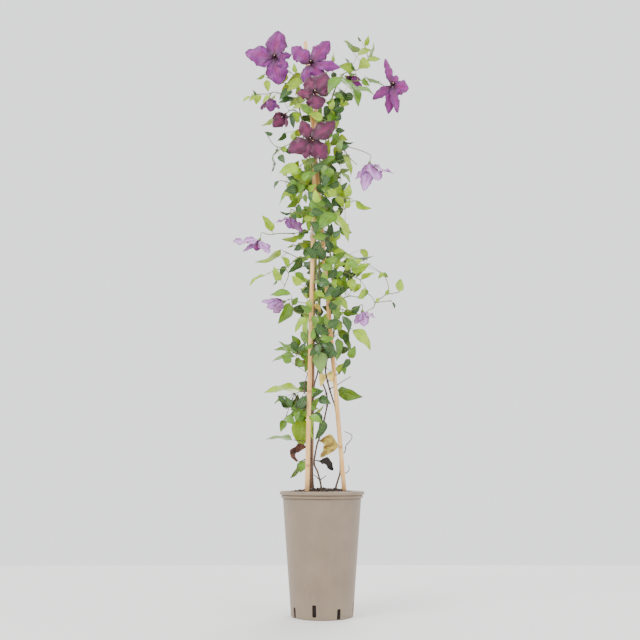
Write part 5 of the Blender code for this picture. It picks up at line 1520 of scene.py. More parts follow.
@dataclass(frozen=True)
class Flower:
    """One bloom: its ruffled sepals, and the boss of stamens before its receptacle."""

    plan: Bloom
    sepal_root: float = 0.0028
    sepal_foot: float = 0.0012
    sepal_lift: float = 0.0014
    sepal_spread: float = 1.05
    sepal_thickness: float = 0.0005
    margin_lobes: float = 0.09
    reach_share: float = 0.985
    narrowest: float = 0.0002
    receptacle_length: float = 0.005
    stalk_approach: float = 0.010
    touch_gap: float = 0.0003
    stamens: int = 30
    stamen_length: float = 0.0095
    boss_radius: float = 0.0022

    @property
    def centre(self) -> Vector:
        """The place where the sepals meet."""
        return VIEW.place(*self.plan.centre)

    @property
    def face(self) -> Vector:
        """The way that the bloom looks."""
        return Vector(self.plan.face).normalized()

    def stalk_end(self) -> tuple[Vector, Vector]:
        """Return the last two places of the stalk, straight behind the bloom."""
        end = self.centre - self.face * (self.receptacle_length + self.touch_gap)
        return end - self.face * self.stalk_approach, end

    def sepal_frame(self, sepal: tuple) -> tuple[Vector, Vector, Vector, float]:
        """Place one sepal.

        Args:
            sepal: The column, row and depth of its tip, and its width in pixels.

        Returns:
            Its base, its tip, the way that its face looks, and its width.
        """
        tip_column, tip_row, tip_depth, pixels = sepal
        tip = VIEW.place(tip_column, tip_row, self.plan.centre[2] + tip_depth)
        outward = across(tip - self.centre, self.face, tip - self.centre)
        base = self.centre + outward * self.sepal_root
        normal = across(self.face, (tip - base).normalized(), VIEW.eye - tip)
        return base, tip, normal, pixels * VIEW.pixel_size(tip) * self.sepal_spread

    def samples(self) -> Path:
        """Return points that stand for the bloom's surfaces when room is sought beside it."""
        points = [self.centre + self.face * step * 0.003 for step in range(-1, 4)]
        for index, sepal in enumerate(self.plan.sepals):
            base, tip, normal, width = self.sepal_frame(sepal)
            along = (tip - base).normalized()
            side = normal.cross(along)
            length = (tip - base).length
            lift = normal * self.sepal_lift * (index % 2)
            points += [base - side * self.sepal_foot, base + side * self.sepal_foot]
            for step in range(11):
                t = (step + 1) / 12
                half = width / 2 * sepal_half_width(t)
                middle = (base + along * length * t
                          + normal * length * 0.06 * math.sin(math.pi * t) + lift)
                for column in range(7):
                    u = 2 * column / 6 - 1
                    ruffle = half * 0.16 * abs(u) * math.cos(math.pi * (step + column))
                    points.append(middle + side * half * u
                                  + normal * (ruffle - half * 0.18 * u * u))
            points.append(tip + lift)
        return points

    def lay_sepal(self, bm: bmesh.types.BMesh, pattern: BladePattern, index: int,
                  draw: random.Random) -> None:
        """Lay one sepal, keeled along its middle and ruffled along its edges.

        Args:
            bm: What it is added to.
            pattern: The flat blade that is bent.
            index: Which sepal it is.
            draw: The source of its small differences.
        """
        base, tip, normal, width = self.sepal_frame(self.plan.sepals[index])
        along = (tip - base).normalized()
        side = normal.cross(along)
        length = (tip - base).length
        lift = self.sepal_lift * (index % 2)
        waves = draw.uniform(1.6, 2.6)
        phases = (draw.uniform(0, math.tau), draw.uniform(0, math.tau))
        twist = draw.uniform(-0.10, 0.10)
        keel = draw.uniform(0.06, 0.12)

        def surface(u: float, t: float) -> Vector:
            """Return the place of the sepal's face."""
            foot = self.sepal_foot * max(0.0, 1 - t / 0.2)
            lobe = math.sin(math.tau * 2.1 * waves * t + phases[u < 0]) * math.sin(math.pi * t)
            half = width / 2 * sepal_half_width(t) * (1 + self.margin_lobes * lobe)
            half = max(half, foot, self.narrowest)
            edge = abs(u) ** 1.6
            ripple = math.sin(math.tau * waves * t + phases[u > 0])
            ripple += 0.4 * math.sin(math.tau * 2.7 * waves * t + phases[u < 0])
            height = length * 0.06 * math.sin(math.pi * t) + lift
            height += half * (0.22 * edge * ripple - 0.18 * u * u + twist * u)
            height -= half * keel * math.exp(-(u / 0.16) ** 2)
            return base + along * length * self.reach_share * t + side * half * u + normal * height

        tone = BloomTone(self.plan.tone)
        tint = (*vary(BLOOM_COLOURS[tone], draw, 0.12)[:3], BACK_PALENESS[tone])
        pattern.copy_into(bm, surface, lambda u, t: normal, self.sepal_thickness, tint, False,
                          lambda spot: 0.0)

    def build_sepals(self, pattern: BladePattern, material: bpy.types.Material) -> None:
        """Build the sepals and dress them.

        Args:
            pattern: The flat blade that is bent into each.
            material: The sepal finish.
        """
        draw = random.Random(self.plan.name)
        bm = bmesh.new()
        for index in range(len(self.plan.sepals)):
            self.lay_sepal(bm, pattern, index, draw)
        publish(bm, self.plan.name + "_sepals", material, [self.plan.name], 80)

    def build_boss(self, material: bpy.types.Material) -> None:
        """Build the receptacle and the stamens and dress them.

        Args:
            material: The stamen finish.
        """
        draw = random.Random(self.plan.name + " boss")
        square = UP.rotation_difference(self.face)
        strands = Strands(1)
        strands.add([self.centre - self.face * self.receptacle_length,
                     self.centre - self.face * 0.003, self.centre, self.centre + self.face * 0.002],
                    [0.0012, 0.0026, 0.0034, 0.0024])
        for count in range(self.stamens):
            share = math.sqrt((count + 0.5) / self.stamens)
            turn = Quaternion(UP, count * math.pi * (3 - math.sqrt(5)))
            spread = 0.10 + 0.55 * share + draw.uniform(-0.1, 0.1)
            length = self.stamen_length * draw.uniform(0.85, 1.05) * (1 - 0.12 * share)
            foot = turn @ Vector((share * self.boss_radius, 0, 0.001))
            lean = turn @ Vector((math.sin(spread), 0, math.cos(spread)))
            curl = turn @ Vector((-0.12 * share, 0, 0.1)) * length
            steps = [foot + lean * length * t + curl * t * t for t in (0, 0.45, 0.6, 0.9, 1)]
            strands.add([self.centre + square @ step for step in steps],
                        [0.00035, 0.0003, 0.0006, 0.00055, 0.00015])
        tall = self.stamen_length * 1.18
        strands.add([self.centre + self.face * tall * t for t in (0, 0.8, 0.95, 1)],
                    [0.0008, 0.0008, 0.0011, 0.0006])
        bm = strands.shape()
        reach = bm.verts.layers.float.new("reach")
        for vert in bm.verts:
            ahead = (vert.co - self.centre).dot(self.face)
            gap = (vert.co - self.centre).length / self.stamen_length
            vert[reach] = gap if ahead > 0 else ahead / self.receptacle_length
        publish(bm, self.plan.name + "_stamens", material, [self.plan.name], 80)


def vary(colour: Colour, draw: random.Random, amount: float) -> Colour:
    """Return a colour made a little lighter or darker, and a little warmer or cooler."""
    light = 1 + draw.uniform(-amount, amount)
    warm = draw.uniform(-amount, amount) / 2
    return (colour[0] * (light + warm), colour[1] * light, colour[2] * (light - warm), 1.0)


@dataclass
class Growth:
    """Where the stems, the twigs and the leaflets run, kept clear of each other."""

    stem_radius: float = 0.0015
    stem_joint_gap: float = 0.0005
    stem_spacing: float = 0.020
    chord_spacing: float = 0.003
    twig_radius: float = 0.0010
    blade_thickness: float = 0.0008
    width_ratio: float = 0.56
    lean_degrees: float = 22
    smallest_solid: float = 0.022
    sample_spacing: float = 0.0045
    settle_steps: int = 9
    settle_stride: float = 0.006
    deepest_start: float = 0.030
    root_free: float = 0.006
    root_spacing: float = 0.004
    leaf_room: float = 0.0042
    thicket_room: float = 0.0020
    least_room: float = 0.0009
    edge_gap: float = 0.003
    solid_seed: int = 7
    small_seed: int = 11
    crowd: Crowd = field(default_factory=Crowd)

    def stem_path(self, part: Union[Leafy, Wood], spacing: float) -> Path:
        """Return the path of one length of a stem, which runs on smoothly from its neighbours."""
        order = next(order for order in STEM_ORDER if part.name in order)
        place = order.index(part.name)
        axes = {length.name: length.axis for length in (*WOODY_STEMS, *LEAFY_LENGTHS)}
        before = VIEW.place(*axes[order[place - 1]][-2]) if place else None
        after = VIEW.place(*axes[order[place + 1]][1]) if place + 1 < len(order) else None
        path = smooth_path([VIEW.place(*point) for point in part.axis], spacing, before, after)
        if before:
            path[0] = path[0] + (path[1] - path[0]).normalized() * self.stem_joint_gap
        return path

    def lines(self, part: Union[Leafy, Wood], spacing: float) -> list[Path]:
        """Run the stem of a length, its twigs and the bloom stalks that it bears.

        Args:
            part: The plan of the length.
            spacing: About how far apart the points of each line lie.

        Returns:
            The lines, the stem's first. Each starts on one of those before it.
        """
        lines = [self.stem_path(part, spacing)]
        sprouts = [(twig, ()) for twig in part.twigs]
        sprouts += [(bloom.stalk, Flower(bloom).stalk_end()) for bloom in BLOOMS
                    if bloom.carrier == part.name]
        for places, end in sprouts:
            points = [VIEW.place(*place) for place in places]
            grown = [point for line in lines for point in chord_points(line, self.chord_spacing)]
            points[0] = nearest(grown, points[0])
            lines.append(smooth_path([*points, *end], spacing))
        return lines

    def samples(self, leaf: Leaflet) -> np.ndarray:
        """Return points that stand for a leaflet's surface when room is sought for it."""
        along = leaf.tip - leaf.base
        side = leaf.normal.cross(along.normalized())
        count = max(3, math.ceil(along.length / self.sample_spacing))
        points = []
        for step in range(count + 1):
            t = step / count
            half = leaf.width / 2 * leaf_half_width(min(max(t, 0.04), 0.99))
            sides = max(1, math.ceil(half / self.sample_spacing))
            middle = (leaf.base + along * t
                      + leaf.normal * along.length * 0.07 * math.sin(math.pi * t))
            for share in range(-sides, sides + 1):
                u = share / sides
                points.append(middle + side * half * u + leaf.normal * half * 0.3 * abs(u))
        steps = max(1, math.ceil((leaf.base - leaf.root).length / self.sample_spacing))
        points += [leaf.root.lerp(leaf.base, step / steps) for step in range(1, steps + 1)]
        return np.array(points)

    def place_leaflet(self, entry: tuple, root: Vector, shift: float, roll_side: int,
                      lean: float) -> Leaflet:
        """Place a leaflet that is moved along the line of sight.

        Args:
            entry: The leaflet's plan.
            root: Where its stalk starts.
            shift: How far it lies behind its root.
            roll_side: The side, -1 or 1, to which its blade is rolled.
            lean: The angle by which its tip leans away.

        Returns:
            The leaflet.
        """
        base_column, base_row, tip_column, tip_row, pixels = entry[:5]
        depth = root.y + shift
        base = VIEW.place(base_column, base_row, depth / MM)
        flat_tip = VIEW.place(tip_column, tip_row, depth / MM)
        tip_depth = depth + (flat_tip - base).length * math.tan(lean)
        tip = VIEW.place(tip_column, tip_row, tip_depth / MM)
        along = (tip - base).normalized()
        seen_width = pixels * VIEW.pixel_size(base)
        width = max(seen_width, self.width_ratio * (tip - base).length)
        facing = across(VIEW.eye - base, along, UP)
        roll = math.acos(min(1, seen_width / width)) * roll_side
        return Leaflet(root, base, tip, Quaternion(along, roll) @ facing, width)

    def settle_leaflet(self, entry: tuple, roots: Path, outward: int, draw: random.Random,
                       bounded: bool, enough: float, least: float) -> Optional[Leaflet]:
        """Place a leaflet where the photograph shows it, at the nearest depth that has room.

        Args:
            entry: The leaflet's plan.
            roots: The places that its stalk may start from.
            outward: The side, -1 for the front or 1 for the back, that is tried first.
            draw: The source of its small differences.
            bounded: Whether it must keep inside the solid model's box.
            enough: The gap to all else at which the search ends.
            least: The smallest gap that it may be left with.

        Returns:
            The leaflet, or nothing where there is no room for it.
        """
        lean = math.radians(draw.uniform(-self.lean_degrees, self.lean_degrees))
        first_side = draw.choice((-1, 1))
        first_shift = draw.uniform(0.003, self.deepest_start)
        seen_base = VIEW.place(entry[0], entry[1], 0)
        seen_along = (VIEW.place(entry[2], entry[3], 0) - seen_base).xz.normalized()

        def reach(root: Vector) -> float:
            """Return the stalk's length as seen, made longer where it comes from ahead."""
            stalk = (seen_base - root).xz
            return 2.5 * stalk.length - 1.5 * stalk.dot(seen_along)

        root = min(roots, key=reach)
        best = None
        for tilt in (0, 0.5, -0.5):
            for step in range(self.settle_steps):
                shift = step * self.settle_stride + first_shift
                for way, turn in ((outward, first_side), (outward, -first_side),
                                  (-outward, first_side), (-outward, -first_side)):
                    leaf = self.place_leaflet(entry, root, way * shift, turn, lean + tilt)
                    if bounded and not self.is_inside(leaf):
                        continue
                    room = self.crowd.room(self.samples(leaf), root, self.root_free)
                    if best is None or room > best[0]:
                        best = (room, leaf)
                    if room > enough:
                        return leaf
        return best[1] if best and best[0] > least else None

    def fill_crowd(self) -> None:
        """Take up the places of the canes, ties, stems, blooms and shrivelled leaves."""
        for plan in CANES:
            line = chord_points(BambooCane(plan, 0).ends(), self.chord_spacing)
            self.crowd.add(line, BambooCane.radius)
        for name, row in TIE_ROWS.items():
            self.crowd.add(CordTie(name, row).path(), CordTie.radius)
        for part in (*WOODY_STEMS, *LEAFY_LENGTHS):
            stem, *twigs = self.lines(part, self.stem_spacing)
            self.crowd.add(chord_points(stem, self.chord_spacing), self.stem_radius)
            for twig in twigs:
                self.crowd.add(chord_points(twig, self.chord_spacing), self.twig_radius)
        for bloom in BLOOMS:
            self.crowd.add(Flower(bloom).samples(), 0.001)
        for leaf in DEAD_LEAVES:
            self.crowd.add(photo_path(leaf.path, self.chord_spacing), 0.005)

    def settle(self) -> dict[str, list[tuple[Leaflet, LeafTone]]]:
        """Settle every leaflet, the larger ones first.

        Returns:
            The leaflets and their tones, by the name of their leafy length.
        """
        self.fill_crowd()
        settled = {length.name: [] for length in LEAFY_LENGTHS}
        free = {length.name: [root for line in self.lines(length, self.stem_spacing)
                              for root in chord_points(line, self.chord_spacing)[1:-1]]
                for length in LEAFY_LENGTHS}
        for seed, wants_large in ((self.solid_seed, True), (self.small_seed, False)):
            draw = random.Random(seed)
            for length in LEAFY_LENGTHS:
                outward = 1 if "back" in length.name else -1
                first_root = self.lines(length, self.stem_spacing)[0][0]
                for entry in length.leaflets:
                    reach = math.hypot(entry[2] - entry[0], entry[3] - entry[1])
                    large = reach * VIEW.pixel_size(first_root) >= self.smallest_solid
                    if large != wants_large:
                        continue
                    leaf = self.settle_leaflet(entry, free[length.name], outward, draw, not large,
                                               self.leaf_room, -math.inf)
                    if leaf is None:
                        continue
                    self.crowd.add(self.samples(leaf), self.blade_thickness / 2)
                    free[length.name] = [root for root in free[length.name]
                                         if (root - leaf.root).length > self.root_spacing]
                    settled[length.name].append((leaf, LeafTone(entry[5])))
        for thicket in THICKETS:
            settled[thicket.carrier] += self.fill_thicket(thicket)
        return settled

    def is_inside(self, leaf: Leaflet) -> bool:
        """Return whether a leaflet keeps well inside the solid model's box."""
        low = Vector(CAD_BOX[0])
        high = Vector(CAD_BOX[1])
        return all(low[axis] + self.edge_gap < end[axis] < high[axis] - self.edge_gap
                   for end in (leaf.base, leaf.tip) for axis in range(3))

    @staticmethod
    def hides_bloom(entry: tuple) -> bool:
        """Return whether a leaflet would be seen in front of a bloom."""
        spots = (entry[0:2], entry[2:4], ((entry[0] + entry[2]) / 2, (entry[1] + entry[3]) / 2))
        for bloom in BLOOMS:
            hub = bloom.centre[:2]
            places = [hub] + [((hub[0] + sepal[0]) / 2, (hub[1] + sepal[1]) / 2)
                              for sepal in bloom.sepals]
            if min(math.dist(spot, place) for spot in spots for place in places) < 9:
                return True
        return False

    def fill_thicket(self, thicket: Thicket) -> list[tuple[Leaflet, LeafTone]]:
        """Settle the small leaflets of a thicket wherever there is room for them.

        Args:
            thicket: Its plan.

        Returns:
            The leaflets and their tones.
        """
        draw = random.Random(f"{thicket.carrier} {thicket.rows}")
        length = next(length for length in LEAFY_LENGTHS if length.name == thicket.carrier)
        roots = [root for line in self.lines(length, self.stem_spacing)
                 for root in chord_points(line, self.chord_spacing)[1:-1]]
        outward = 1 if "back" in thicket.carrier else -1
        grown = []
        for number in range(thicket.count):
            column = draw.uniform(*thicket.columns)
            row = draw.uniform(*thicket.rows)
            angle = draw.uniform(0, math.tau)
            pixels = draw.uniform(9, 15)
            entry = (column, row, column + pixels * math.cos(angle),
                     row + pixels * math.sin(angle), pixels * draw.uniform(0.45, 0.7))
            if self.hides_bloom(entry):
                continue
            leaf = self.settle_leaflet(entry, roots, outward, draw, True, self.thicket_room,
                                       self.least_room)
            if leaf:
                self.crowd.add(self.samples(leaf), self.blade_thickness / 2)
                tone = thicket.tones[number % len(thicket.tones)]
                grown.append((leaf, LeafTone(tone)))
        return grown


@dataclass(frozen=True)
class LeafyLength:
    """One leafy length of a climbing stem: its stem and twigs, and its leaflets."""

    plan: Leafy
    growth: Growth
    line_spacing: float = 0.0025
    joint_swell: float = 0.35
    joint_reach: float = 0.003
    reach_share: float = 0.985
    stalk_radius: float = 0.0005
    rib_radius: float = 0.0002
    rib_share: float = 0.30
    blade_thickness: float = 0.0004
    narrowest: float = 0.00015

    def build_stems(self, leaves: Sequence[tuple[Leaflet, LeafTone]],
                    material: bpy.types.Material) -> None:
        """Build the stem, the twigs, the bloom stalks and the leaf stalks, and dress them.

        Args:
            leaves: The leaflets that it bears.
            material: The stem finish.
        """
        lines = self.growth.lines(self.plan, self.line_spacing)
        grown = [point for line in lines for point in line]
        roots = [nearest(grown, leaf.root) for leaf, tone in leaves]
        joints = roots + [line[0] for line in lines[1:]]
        strands = Strands(1)
        for number, line in enumerate(lines):
            first = self.growth.twig_radius if number else self.growth.stem_radius
            last = 0.7 * first if number else first
            radii = []
            for index, point in enumerate(line):
                radius = first + (last - first) * index / (len(line) - 1)
                gap = min(((joint - point).length for joint in joints), default=1.0)
                swell = self.joint_swell * math.exp(-(gap / self.joint_reach) ** 2)
                radii.append(radius * (1 + swell))
            strands.add(line, radii)
        for (leaf, tone), root in zip(leaves, roots):
            self.add_leaf_stalk(strands, leaf, root)
        publish(strands.shape(), self.plan.name + "_stems", material, [self.plan.name], 80)

    def add_leaf_stalk(self, strands: Strands, leaf: Leaflet, root: Vector) -> None:
        """Add a leaflet's stalk, which runs on beneath its blade as a rib.

        Args:
            strands: What it is added to.
            leaf: The leaflet.
            root: The place on a stem that the stalk starts from.
        """
        length = (leaf.tip - leaf.base).length
        along = (leaf.tip - leaf.base).normalized()
        heading = leaf.base + along * length * 0.2
        stalk = smooth_path([root, leaf.base], 0.0030, None, heading)
        rib = []
        for step in range(1, 4):
            t = self.rib_share * step / 3
            arch = length * 0.07 * math.sin(math.pi * t) - self.blade_thickness * 0.7
            rib.append(leaf.base + along * length * t + leaf.normal * arch)
        radii = [self.stalk_radius * (1.5 if index == 0 else 1.0) for index in range(len(stalk))]
        taper = np.linspace(self.stalk_radius, self.rib_radius, len(rib))
        strands.add([*stalk, *rib], [*radii, *taper])

    def build_leaves(self, leaves: Sequence[tuple[Leaflet, LeafTone]], fine: BladePattern,
                     coarse: BladePattern, material: bpy.types.Material) -> None:
        """Build the leaflets and dress them.

        Args:
            leaves: The leaflets and their tones.
            fine: The flat blade that is bent into each larger leaflet.
            coarse: The flat blade that is bent into each smaller one.
            material: The leaf finish.
        """
        draw = random.Random(self.plan.name)
        bm = bmesh.new()
        for leaf, tone in leaves:
            large = (leaf.tip - leaf.base).length >= self.growth.smallest_solid
            self.lay_leaflet(bm, fine if large else coarse, leaf, tone, draw)
        publish(bm, self.plan.name + "_leaves", material, [self.plan.name], 80)

    def lay_leaflet(self, bm: bmesh.types.BMesh, pattern: BladePattern, leaf: Leaflet,
                    tone: LeafTone, draw: random.Random) -> None:
        """Lay one leaflet, folded along its middle, arched, and waved along its edges.

        Args:
            bm: What it is added to.
            pattern: The flat blade that is bent.
            leaf: The leaflet in place.
            tone: Its tone.
            draw: The source of its small differences.
        """
        along = (leaf.tip - leaf.base).normalized()
        side = leaf.normal.cross(along)
        length = (leaf.tip - leaf.base).length
        phases = (draw.uniform(0, math.tau), draw.uniform(0, math.tau))
        waves = draw.uniform(1.2, 2.0)
        curve = draw.uniform(-0.05, 0.05) * length
        fold = draw.uniform(0.22, 0.38)

        def surface(u: float, t: float) -> Vector:
            """Return the place of the leaflet's face."""
            half = max(leaf.width / 2 * leaf_half_width(t), self.narrowest)
            wave = 0.14 * u * u * math.sin(math.tau * waves * t + phases[u > 0])
            quilt = 0.035 * math.cos(math.tau * (1.6 * u * u)) * math.sin(math.pi * t)
            height = length * 0.07 * math.sin(math.pi * t) + half * (fold * abs(u) + wave + quilt)
            bend = curve * math.sin(math.pi * t)
            return (leaf.base + along * length * self.reach_share * t + side * (half * u + bend)
                    + leaf.normal * height)

        tint = vary(LEAF_COLOURS[tone], draw, 0.16)
        pattern.copy_into(bm, surface, lambda u, t: leaf.normal, self.blade_thickness, tint,
                          tone is LeafTone.UNDERSIDE, brown_share)


# Brown marks on two leaves: the column and row of each, and its radius in pixels
LEAF_MARKS = ((304.0, 362.0, 2.0), (362.0, 397.0, 2.4))


def brown_share(place: Vector) -> float:
    """Return how brown a leaf is at a place, from 0 to 1."""
    share = 0.0
    for column, row, pixels in LEAF_MARKS:
        seen = VIEW.place(column, row, place.y / MM)
        share = max(share, 1.3 - (place - seen).length / (pixels * VIEW.pixel_size(place)))
    return min(1.0, max(0.0, share))


@dataclass(frozen=True)
class WoodyStem:
    """The knobbly woody foot of a climbing stem with its bare side twigs."""

    plan: Wood
    growth: Growth
    radius: float = 0.0019
    twig_tip_radius: float = 0.0006
    line_spacing: float = 0.0016
    knobbliness: float = 0.16

    def build(self, material: bpy.types.Material) -> None:
        """Build the stem and dress it.

        Args:
            material: The bark finish.
        """
        strands = Strands(3)
        for number, line in enumerate(self.growth.lines(self.plan, self.line_spacing)):
            first = self.growth.twig_radius if number else self.radius
            last = self.twig_tip_radius if number else self.growth.stem_radius
            radii = []
            for index, point in enumerate(line):
                radius = first + (last - first) * index / (len(line) - 1)
                radii.append(radius * (1 + self.knobbliness * noise.noise(point * 260)))
            strands.add(line, radii)
        publish(strands.shape(), self.plan.name + "_bark", material, [self.plan.name], 80)


@dataclass(frozen=True)
class ShrivelledLeaf:
    """A dead leaf that has curled and crumpled as it dried."""

    plan: DeadLeaf
    growth: Growth
    thickness: float = 0.0005
    crumple: float = 0.0011
    twist: float = 0.7
    start_gap: float = 0.0006
    stalk_width: float = 0.0010

    def build(self, pattern: BladePattern, material: bpy.types.Material, slot: str) -> None:
        """Build the leaf and dress it.

        Args:
            pattern: The flat blade that is bent.
            material: The dry leaf finish.
            slot: The record's material slot; not used.
        """
        centres = [VIEW.place(*point) for point in self.plan.path]
        carrier = next(part for part in (*WOODY_STEMS, *LEAFY_LENGTHS)
                       if part.name == self.plan.carrier)
        stem = chord_points(self.growth.lines(carrier, self.growth.stem_spacing)[0], 0.001)
        centres[0] = nearest(stem, centres[0])
        if self.plan.node == self.plan.name:
            start = (centres[1] - centres[0]).normalized()
            centres[0] = centres[0] + start * (self.growth.stem_radius + self.start_gap)
        halves = [max(width * VIEW.pixel_size(centre), self.stalk_width) / 2
                  for width, centre in zip(self.plan.widths, centres)]

        def frame_at(t: float) -> tuple[Vector, Vector, Vector, float]:
            """Return the middle, the side, the face's way and the half width at a share."""
            run = t * (len(centres) - 1)
            index = min(int(run), len(centres) - 2)
            part = run - index
            path = smooth_path(centres[index:index + 2], 1.0,
                               centres[index - 1] if index else None,
                               centres[index + 2] if index + 2 < len(centres) else None)
            middle = path[0].lerp(path[-1], part)
            before = centres[max(index - 1, 0)]
            after = centres[min(index + 2, len(centres) - 1)]
            heading = ((centres[index + 1] - before).lerp(after - centres[index], part)).normalized()
            normal = across(VIEW.eye - middle, heading, UP)
            normal = Quaternion(heading, self.twist * math.sin(1.9 * run)) @ normal
            half = halves[index] + (halves[index + 1] - halves[index]) * part
            return middle, normal.cross(heading), normal, half

        def surface(u: float, t: float) -> Vector:
            """Return the place of the leaf's face."""
            middle, side, normal, half = frame_at(t)
            curl = half * self.plan.curl * abs(u) ** 1.3
            spot = middle + side * half * u + normal * curl
            share = min(1.0, half / 0.006)
            return spot + noise.noise_vector(spot * 190) * self.crumple * share

        bm = bmesh.new()
        pattern.copy_into(bm, surface, lambda u, t: frame_at(t)[2], self.thickness,
                          (1.0, 1.0, 1.0, 1.0), False, lambda spot: 0.0)
        publish(bm, self.plan.name + "_blade", material, [self.plan.node], 80)


@dataclass(frozen=True)
class Pot:
    """A tall tapered pot with a rolled lip, a band under it and slots for drainage."""

    height: float = 0.212
    rim_radius: float = 0.075
    band_radius: float = 0.0722
    body_top_radius: float = 0.0693
    base_radius: float = 0.054
    wall: float = 0.0016
    floor: float = 0.0022
    lip_height: float = 0.0065
    band_height: float = 0.0055
    soft: float = 0.0012
    groove: float = 0.0016
    sides: int = 128
    slots: int = 8
    slot_size: tuple[float, float, float] = (0.016, 0.007, 0.020)
    slot_corner: float = 0.002
    low_slot_foot: float = -0.002
    high_slot_foot: float = 0.0052
    first_slot: float = math.radians(-59)

    def inner_radius(self, height: float) -> float:
        """Return the radius of the pot's inside at a height."""
        rise = height / (self.height - self.lip_height - self.band_height)
        return self.base_radius + (self.body_top_radius - self.base_radius) * rise - self.wall

    def outline(self) -> list[tuple[float, float]]:
        """Return the outline of the pot's wall as radius and height."""
        soft = self.soft
        lip_foot = self.height - self.lip_height
        band_foot = lip_foot - self.band_height
        return [
            (0, 0.0012), (self.base_radius - 0.010, 0.0012), (self.base_radius - 0.009, 0),
            (self.base_radius - soft, 0), (self.base_radius, soft),
            (self.body_top_radius, band_foot - self.groove),
            (self.body_top_radius - self.groove / 2, band_foot - self.groove / 2),
            (self.band_radius - self.groove / 4, band_foot),
            (self.band_radius, band_foot + self.groove / 4),
            (self.band_radius, lip_foot - self.groove),
            (self.band_radius - self.groove, lip_foot - self.groove / 2),
            (self.rim_radius - soft / 2, lip_foot), (self.rim_radius, lip_foot + soft),
            (self.rim_radius - soft / 3, self.height - soft),
            (self.rim_radius - 2 * soft, self.height),
            (self.inner_radius(band_foot) + 2 * soft, self.height - soft / 2),
            (self.inner_radius(band_foot), band_foot), (self.inner_radius(self.floor), self.floor),
            (0, self.floor),
        ]

    def slot_cutter(self) -> bpy.types.Object:
        """Return one object with a rounded block at the place of each drain slot."""
        bm = bmesh.new()
        for number in range(self.slots):
            block = bmesh.ops.create_cube(bm, size=1)["verts"]
            bmesh.ops.scale(bm, vec=self.slot_size, verts=block)
            edges = list({edge for vert in block for edge in vert.link_edges
                          if abs(edge.verts[0].co.x - edge.verts[1].co.x) > self.wall})
            made = bmesh.ops.bevel(bm, geom=edges, offset=self.slot_corner, segments=3,
                                   profile=0.5, affect="EDGES", material=-1)
            verts = list({vert for face in made["faces"] for vert in face.verts}
                         | {vert for vert in block if vert.is_valid})
            low = self.high_slot_foot if number % 2 else self.low_slot_foot
            bmesh.ops.translate(bm, vec=(self.base_radius, 0, low + self.slot_size[2] / 2),
                                verts=verts)
            turn = Matrix.Rotation(self.first_slot + math.tau * number / self.slots, 3, "Z")
            bmesh.ops.rotate(bm, cent=(0, 0, 0), matrix=turn, verts=verts)
        bmesh.ops.recalc_face_normals(bm, faces=bm.faces)
        mesh = bpy.data.meshes.new("slots")
        bm.to_mesh(mesh)
        bm.free()
        cutter = bpy.data.objects.new("slots", mesh)
        bpy.context.scene.collection.objects.link(cutter)
        return cutter

    def build(self, material: bpy.types.Material) -> None:
        """Build the pot and dress it.

        Args:
            material: The plastic finish.
        """
        bm = turned(self.outline(), self.sides)
        rings = [edge for edge in bm.edges if edge.is_manifold
                 and abs(edge.verts[0].co.z - edge.verts[1].co.z) < 1e-6
                 and math.degrees(edge.calc_face_angle()) > 12
                 and min(vert.co.xy.length for vert in edge.verts) > 0.01]
        bmesh.ops.bevel(bm, geom=rings, offset=0.00045, segments=2, profile=0.5, affect="EDGES",
                        material=-1)
        pot = publish(bm, "pot_shell", material, ["pot"])
        cutter = self.slot_cutter()
        cut = pot.modifiers.new("Slots", "BOOLEAN")
        cut.operation = "DIFFERENCE"
        cut.object = cutter
        depsgraph = bpy.context.evaluated_depsgraph_get()
        mesh = bpy.data.meshes.new_from_object(pot.evaluated_get(depsgraph))
        pot.modifiers.clear()
        pot.data = mesh
        bpy.data.objects.remove(cutter)


